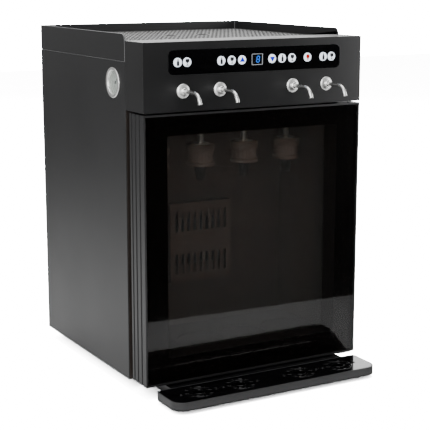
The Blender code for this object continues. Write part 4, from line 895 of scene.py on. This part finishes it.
# %% Dispensing heads
for n in (1, 2, 3, 4):
    spot = Place(f"dispensing_head_{n}")
    foot = at(spot.middle.x, spot.middle.y, spot.low.z, UP)
    head = Build()
    stopper = [(5.0, 0.0), (6.6, 0.6), (7.4, 4.0), (8.2, 8.0), (8.0, 8.6), (9.0, 13.0), (8.8, 13.6), (9.8, 19.0)]
    stopper += [(9.8, 24.2)]
    head.turned(stopper, foot, ink=1)
    barrel = [(20.0, 24.0), (22.6, 24.4), (23.5, 25.4), (23.5, 29.6), (22.9, 30.4), (21.6, 31.6), (21.0, 34.0)]
    barrel += [(21.0, 45.0), (21.6, 47.2), (22.9, 48.4), (23.5, 49.4), (23.5, 58.2), (22.8, 59.4), (21.0, 60.0)]
    head.turned(barrel[:4], foot, steps=96)
    head.turned(barrel[4:10], foot, steps=96, flutes=24, depth=0.9)
    head.turned(barrel[9:], foot, steps=96)
    head.turned([(14.8, 59.6), (14.8, 61.0), (14.2, 61.4)], foot, ink=2)
    head.turned([(5.0, 60.0), (5.0, 100.5), (4.6, 101.0)], foot, ink=2)
    made = head.make(f"pouring_head_{n}", f"head_{n}", "grey_plastic", [nylon, epdm, zinc])
    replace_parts(made, f"dispensing_head_{n}")

# %% [markdown]
# ## Feet, inlets and lamp
# These small parts are seen from behind, from below or with the door open. A foot is a turned rubber cone with
# a screw in it. The gas fitting is brass: a hexagon, a thread and a push-in collar. The socket gets its three
# pins. The lamp is a slim channel with a frosted window.

# %% Feet
for corner_name in ("front_left", "front_right", "rear_left", "rear_right"):
    spot = Place(f"foot_{corner_name}")
    ground = at(spot.middle.x, spot.middle.y, spot.low.z, UP)
    foot = Build()
    skirt = [(4.4, 2.4), (4.8, 0.3), (13.0, 0.0), (14.4, 0.7), (15.0, 2.4), (15.0, 5.0), (13.7, 7.0), (12.9, 12.0)]
    skirt += [(12.6, 17.7), (5.6, 17.7), (5.6, 23.0), (3.0, 23.5), (3.0, 18.0), (4.4, 16.0)]
    foot.turned(skirt, ground, loop=True)
    foot.turned([(4.3, 2.2), (4.3, 3.6), (2.9, 4.0), (2.9, 20.0)], ground, ink=1)
    made = foot.make(f"rubber_foot_{corner_name}", "cabinet", "rubber", [epdm, zinc])
    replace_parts(made, f"foot_{corner_name}")

# %% Gas inlet
spot = Place("gas_inlet")
panel_back = Place("rear_panel").high.y
out = (spot.high.y - panel_back) / MM
inlet = at(spot.middle.x, panel_back, (spot.low.z + spot.high.z) / 2, BACK)
fitting = Build()
fitting.turned([(3.2, -13.0), (4.8, -13.0), (4.8, 0.05), (8.2, 0.1), (8.4, 0.5), (8.4, 4.6), (7.9, 5.2), (3.2, 5.2)],
               inlet, steps=6, loop=True)
thread = [(3.0, 4.8)]
for i in range(7):
    thread += [(4.5, 5.2 + i), (5.0, 5.6 + i), (4.5, 6.0 + i)]
thread += [(4.5, out - 2.6), (3.0, out - 2.6)]
fitting.turned(thread, inlet, loop=True)
collar = [(3.0, out - 3.0), (4.2, out - 3.0), (4.2, out - 1.4), (6.0, out - 1.3), (6.2, out - 0.9), (6.0, out - 0.1)]
fitting.turned(collar + [(5.4, out), (3.3, out)], inlet, ink=1, loop=True)
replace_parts(fitting.make("gas_fitting", "cabinet", "chrome", [brass, textured_abs]), "gas_inlet")

# %% Socket pins
spot = Place("power_inlet")
socket = at(spot.middle.x, spot.high.y, spot.middle.z, BACK)
pins = Build()
for u, v in ((-7.0, -2.0), (0.0, 2.0), (7.0, -2.0)):
    pins.plate(bar(u, v, 2.0, 4.0), -18.0, -4.5, socket)
round_edges(pins.make("socket_pins", "cabinet", "chrome", [brass]), 0.3)

# %% Chamber lamp
spot = Place("light_strip")
ceiling = at(spot.middle.x, spot.middle.y, spot.high.z, DOWN)
lamp = Build()
length, width, deep = spot.size.x / MM, spot.size.y / MM, spot.size.z / MM
lamp.frame(rounded(length, width, 2.0), rounded(length - 4, width - 4, 1.4), 0.0, deep - 0.6, ceiling, 0)
lamp.plate(rounded(length - 4.2, width - 4.2, 1.2), 0.5, deep - 1.2, ceiling, 1)
made = lamp.make("chamber_lamp", "cabinet", "light_diffuser", [rolled_aluminium, diffuser])
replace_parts(made, "light_strip")

# %% [markdown]
# ## Screws
# The case is held by small pan-head screws. Each head is a turned dome with a round socket sunk in it. They sit
# along the edges of the rear panel and under the base.

# %% Screws


def screw_head(build, place, radius):
    """A pan head with a socket in it, in millimetres, standing on the place."""
    tall = radius * 0.62
    dome_line = [(radius * 0.36, tall * 0.45), (radius * 0.36, tall), (radius * 0.62, tall * 0.96)]
    dome_line += [(radius * 0.88, tall * 0.7), (radius, tall * 0.3), (radius, -0.2)]
    build.turned(dome_line, place, steps=20)


rear = Place("rear_panel")
base = Place("base_plate")
rear_screws = Build()
inset = 9 * MM
REAR_HEAD, BASE_HEAD = 3.4, 3.0
for x in (rear.low.x + inset, rear.middle.x, rear.high.x - inset):
    for z in (rear.low.z + inset, rear.high.z - inset):
        screw_head(rear_screws, at(x, rear.high.y, z, BACK), REAR_HEAD)
for x in (rear.low.x + inset, rear.high.x - inset):
    for share in (0.34, 0.67):
        screw_head(rear_screws, at(x, rear.high.y, rear.low.z + share * rear.size.z, BACK), REAR_HEAD)
rear_screws.make("rear_screws", "cabinet", "aluminium", [zinc])
base_screws = Build()
for x in (base.low.x + 20 * MM, base.high.x - 20 * MM):
    for y in (base.middle.y - 20 * MM, base.middle.y + 30 * MM):
        screw_head(base_screws, at(x, y, Place("left_side_panel").low.z, DOWN), BASE_HEAD)
base_screws.make("base_screws", "cabinet", "aluminium", [zinc])

# %% [markdown]
# ## Floor and light
# The machine stands on a white sweep in a bright, even room. A studio lights its backdrop harder than the
# product, so that it burns out to white. Here the paper and the room are far brighter to rays that come
# straight from the camera than to any other, so the case isn't washed out by them. No piece of the machine
# does this. A black card stands in front of the door, a black mat lies before the tray, and white cards stand
# left, right and behind. All are seen only in reflections: the black ones keep the glass and the gloss panel
# dark, and the white ones draw the chrome and the tray's end.

# %% White sweep


def stage_plate(name, points, material, seen=True):
    """A flat studio piece from its corners. One that isn't seen shows only in reflections."""
    mesh = bpy.data.meshes.new(name)
    mesh.from_pydata(points, [], [tuple(range(len(points)))])
    mesh.materials.append(material)
    plate = bpy.data.objects.new(name, mesh)
    bpy.context.scene.collection.objects.link(plate)
    for ray in ("camera", "diffuse", "shadow", "transmission"):
        setattr(plate, "visible_" + ray, seen)


sweep_paper, tree, place = start_material("white_sweep_paper")
fibre = add(tree, "TexNoise", {"Scale": per_mm(8), "Detail": 3.0}, {"Vector": place})
ray = add(tree, "LightPath").outputs["Is Camera Ray"]
distance = add(tree, "VectorMath", {"operation": "LENGTH"}, {0: place}).outputs["Value"]
# Painted light: to all rays but the camera's, the paper is brightest near the machine and darker further out.
painted_pool_fade = {"From Min": 0.45, "From Max": 2.4, "To Min": 1.3, "To Max": 0.2}
painted_pool_of_light = add(tree, "MapRange", painted_pool_fade, {"Value": distance})
burn = add(tree, "MapRange", {"To Max": 30.0}, {"Value": ray, "To Min": painted_pool_of_light})
shade = add(tree, "HueSaturation", {"Color": linear("#fdfdfd")}, {"Value": burn})
lift = add(tree, "Bump", {"Strength": 0.1, "Distance": 0.05 * MM}, {"Height": fibre})
shader = add(tree, "BsdfDiffuse", None, {"Color": shade, "Normal": lift})
add(tree, "OutputMaterial", None, {"Surface": shader})
SWEEP = 6.0
stage_plate("sweep", [(-SWEEP, -SWEEP, 0), (SWEEP, -SWEEP, 0), (SWEEP, SWEEP, 0), (-SWEEP, SWEEP, 0)], sweep_paper)

# %% Black card and mat
black_paint, tree, place = start_material("black_card")
split = add(tree, "SeparateXYZ", None, {"Vector": place})
ends = {"From Min": 0.0, "From Max": 0.5, "To Min": 0.004, "To Max": 0.03}
fade = add(tree, "MapRange", ends, {"Value": split.outputs["X"]})
shader = add(tree, "Emission", {"Color": linear("#ffffff")}, {"Strength": fade})
add(tree, "OutputMaterial", None, {"Surface": shader})
CARD_LEFT, CARD_RIGHT, CARD_TOP = (-0.06, pane.low.y - 0.3925), (0.50, pane.low.y - 0.361), 0.54
stage_plate("black_card", [(*CARD_LEFT, 0.001), (*CARD_RIGHT, 0.001), (*CARD_RIGHT, CARD_TOP),
                           (*CARD_LEFT, CARD_TOP)], black_paint, seen=False)
# The mat's corners: across, and how far each lies before the pane.
MAT = [(-0.6, 0.14), (-0.6, 0.2255), (0.24, 0.2255), (0.262, 0.2245), (0.277, 0.2205), (0.284, 0.212), (0.28, 0.1865),
       (0.27, 0.1553), (0.2527, 0.1148), (0.2361, 0.0757), (0.2095, 0.0), (0.203, 0.0), (0.203, 0.14)]
stage_plate("black_mat", [(x, pane.low.y - out, 0.0005) for x, out in MAT], black_paint, seen=False)

# %% White cards
white_paint, tree, place = start_material("white_card")
falloff = add(tree, "TexNoise", {"Scale": per_mm(900), "Detail": 1.0}, {"Vector": place})
glow = add(tree, "MapRange", {"To Min": 4.2, "To Max": 5.6}, {"Value": falloff})
shader = add(tree, "Emission", {"Color": linear("#ffffff")}, {"Strength": glow})
add(tree, "OutputMaterial", None, {"Surface": shader})
stage_plate("rear_card", [(0.55, 1.6, 0.05), (2.6, 1.6, 0.05), (2.6, 1.6, 0.85), (0.55, 1.6, 0.85)], white_paint,
            seen=False)
stage_plate("left_card", [(-1.7, -1.2, 0.25), (-0.35, -1.2, 0.25), (-0.35, -1.2, 1.3), (-1.7, -1.2, 1.3)],
            white_paint, seen=False)
right_y = CARD_RIGHT[1]
stage_plate("right_card", [(0.52, right_y, 0.2), (1.3, right_y, 0.2), (1.3, right_y, 0.85), (0.52, right_y, 0.85)],
            white_paint, seen=False)

# %% Lamps and room
CHAMBER_FRONT = Place("inner_liner").low.y + 15 * MM
LAMPS = {
    "left_bank": ((-2.2, -1.4, 2.2), (0.0, 0.0, 0.3), 1.6, 40.0, "#ffffff"),
    "rear_bank": ((1.6, 2.4, 2.4), (0.0, 0.0, 0.4), 2.0, 40.0, "#ffffff"),
    "top_bank": ((0.0, -0.2, 2.6), (0.0, 0.0, 0.3), 1.8, 35.0, "#ffffff"),
    "chamber_fill": ((0.0, CHAMBER_FRONT, 0.24), (0.0, 1.0, 0.24), 0.28, 0.55, "#ffe2d4"),
}
for name, (spot, target, size, power, tint) in LAMPS.items():
    light = bpy.data.lights.new(name, "AREA")
    light.energy, light.size, light.color = power, size, linear(tint)[:3]
    holder = bpy.data.objects.new(name, light)
    holder.location = spot
    holder.visible_glossy = name != "chamber_fill"
    holder.rotation_euler = (Vector(target) - Vector(spot)).to_track_quat("-Z", "Y").to_euler()
    bpy.context.scene.collection.objects.link(holder)

room = bpy.data.worlds.new("bright_room")
room.use_nodes = True
room.node_tree.nodes.clear()
tree = room.node_tree
ray = add(tree, "LightPath").outputs["Is Camera Ray"]
strength = add(tree, "MapRange", {"To Min": 0.45, "To Max": 40.0}, {"Value": ray})
sky = add(tree, "Background", {"Color": linear("#ffffff")}, {"Strength": strength})
add(tree, "OutputWorld", None, {"Surface": sky})
bpy.context.scene.world = room
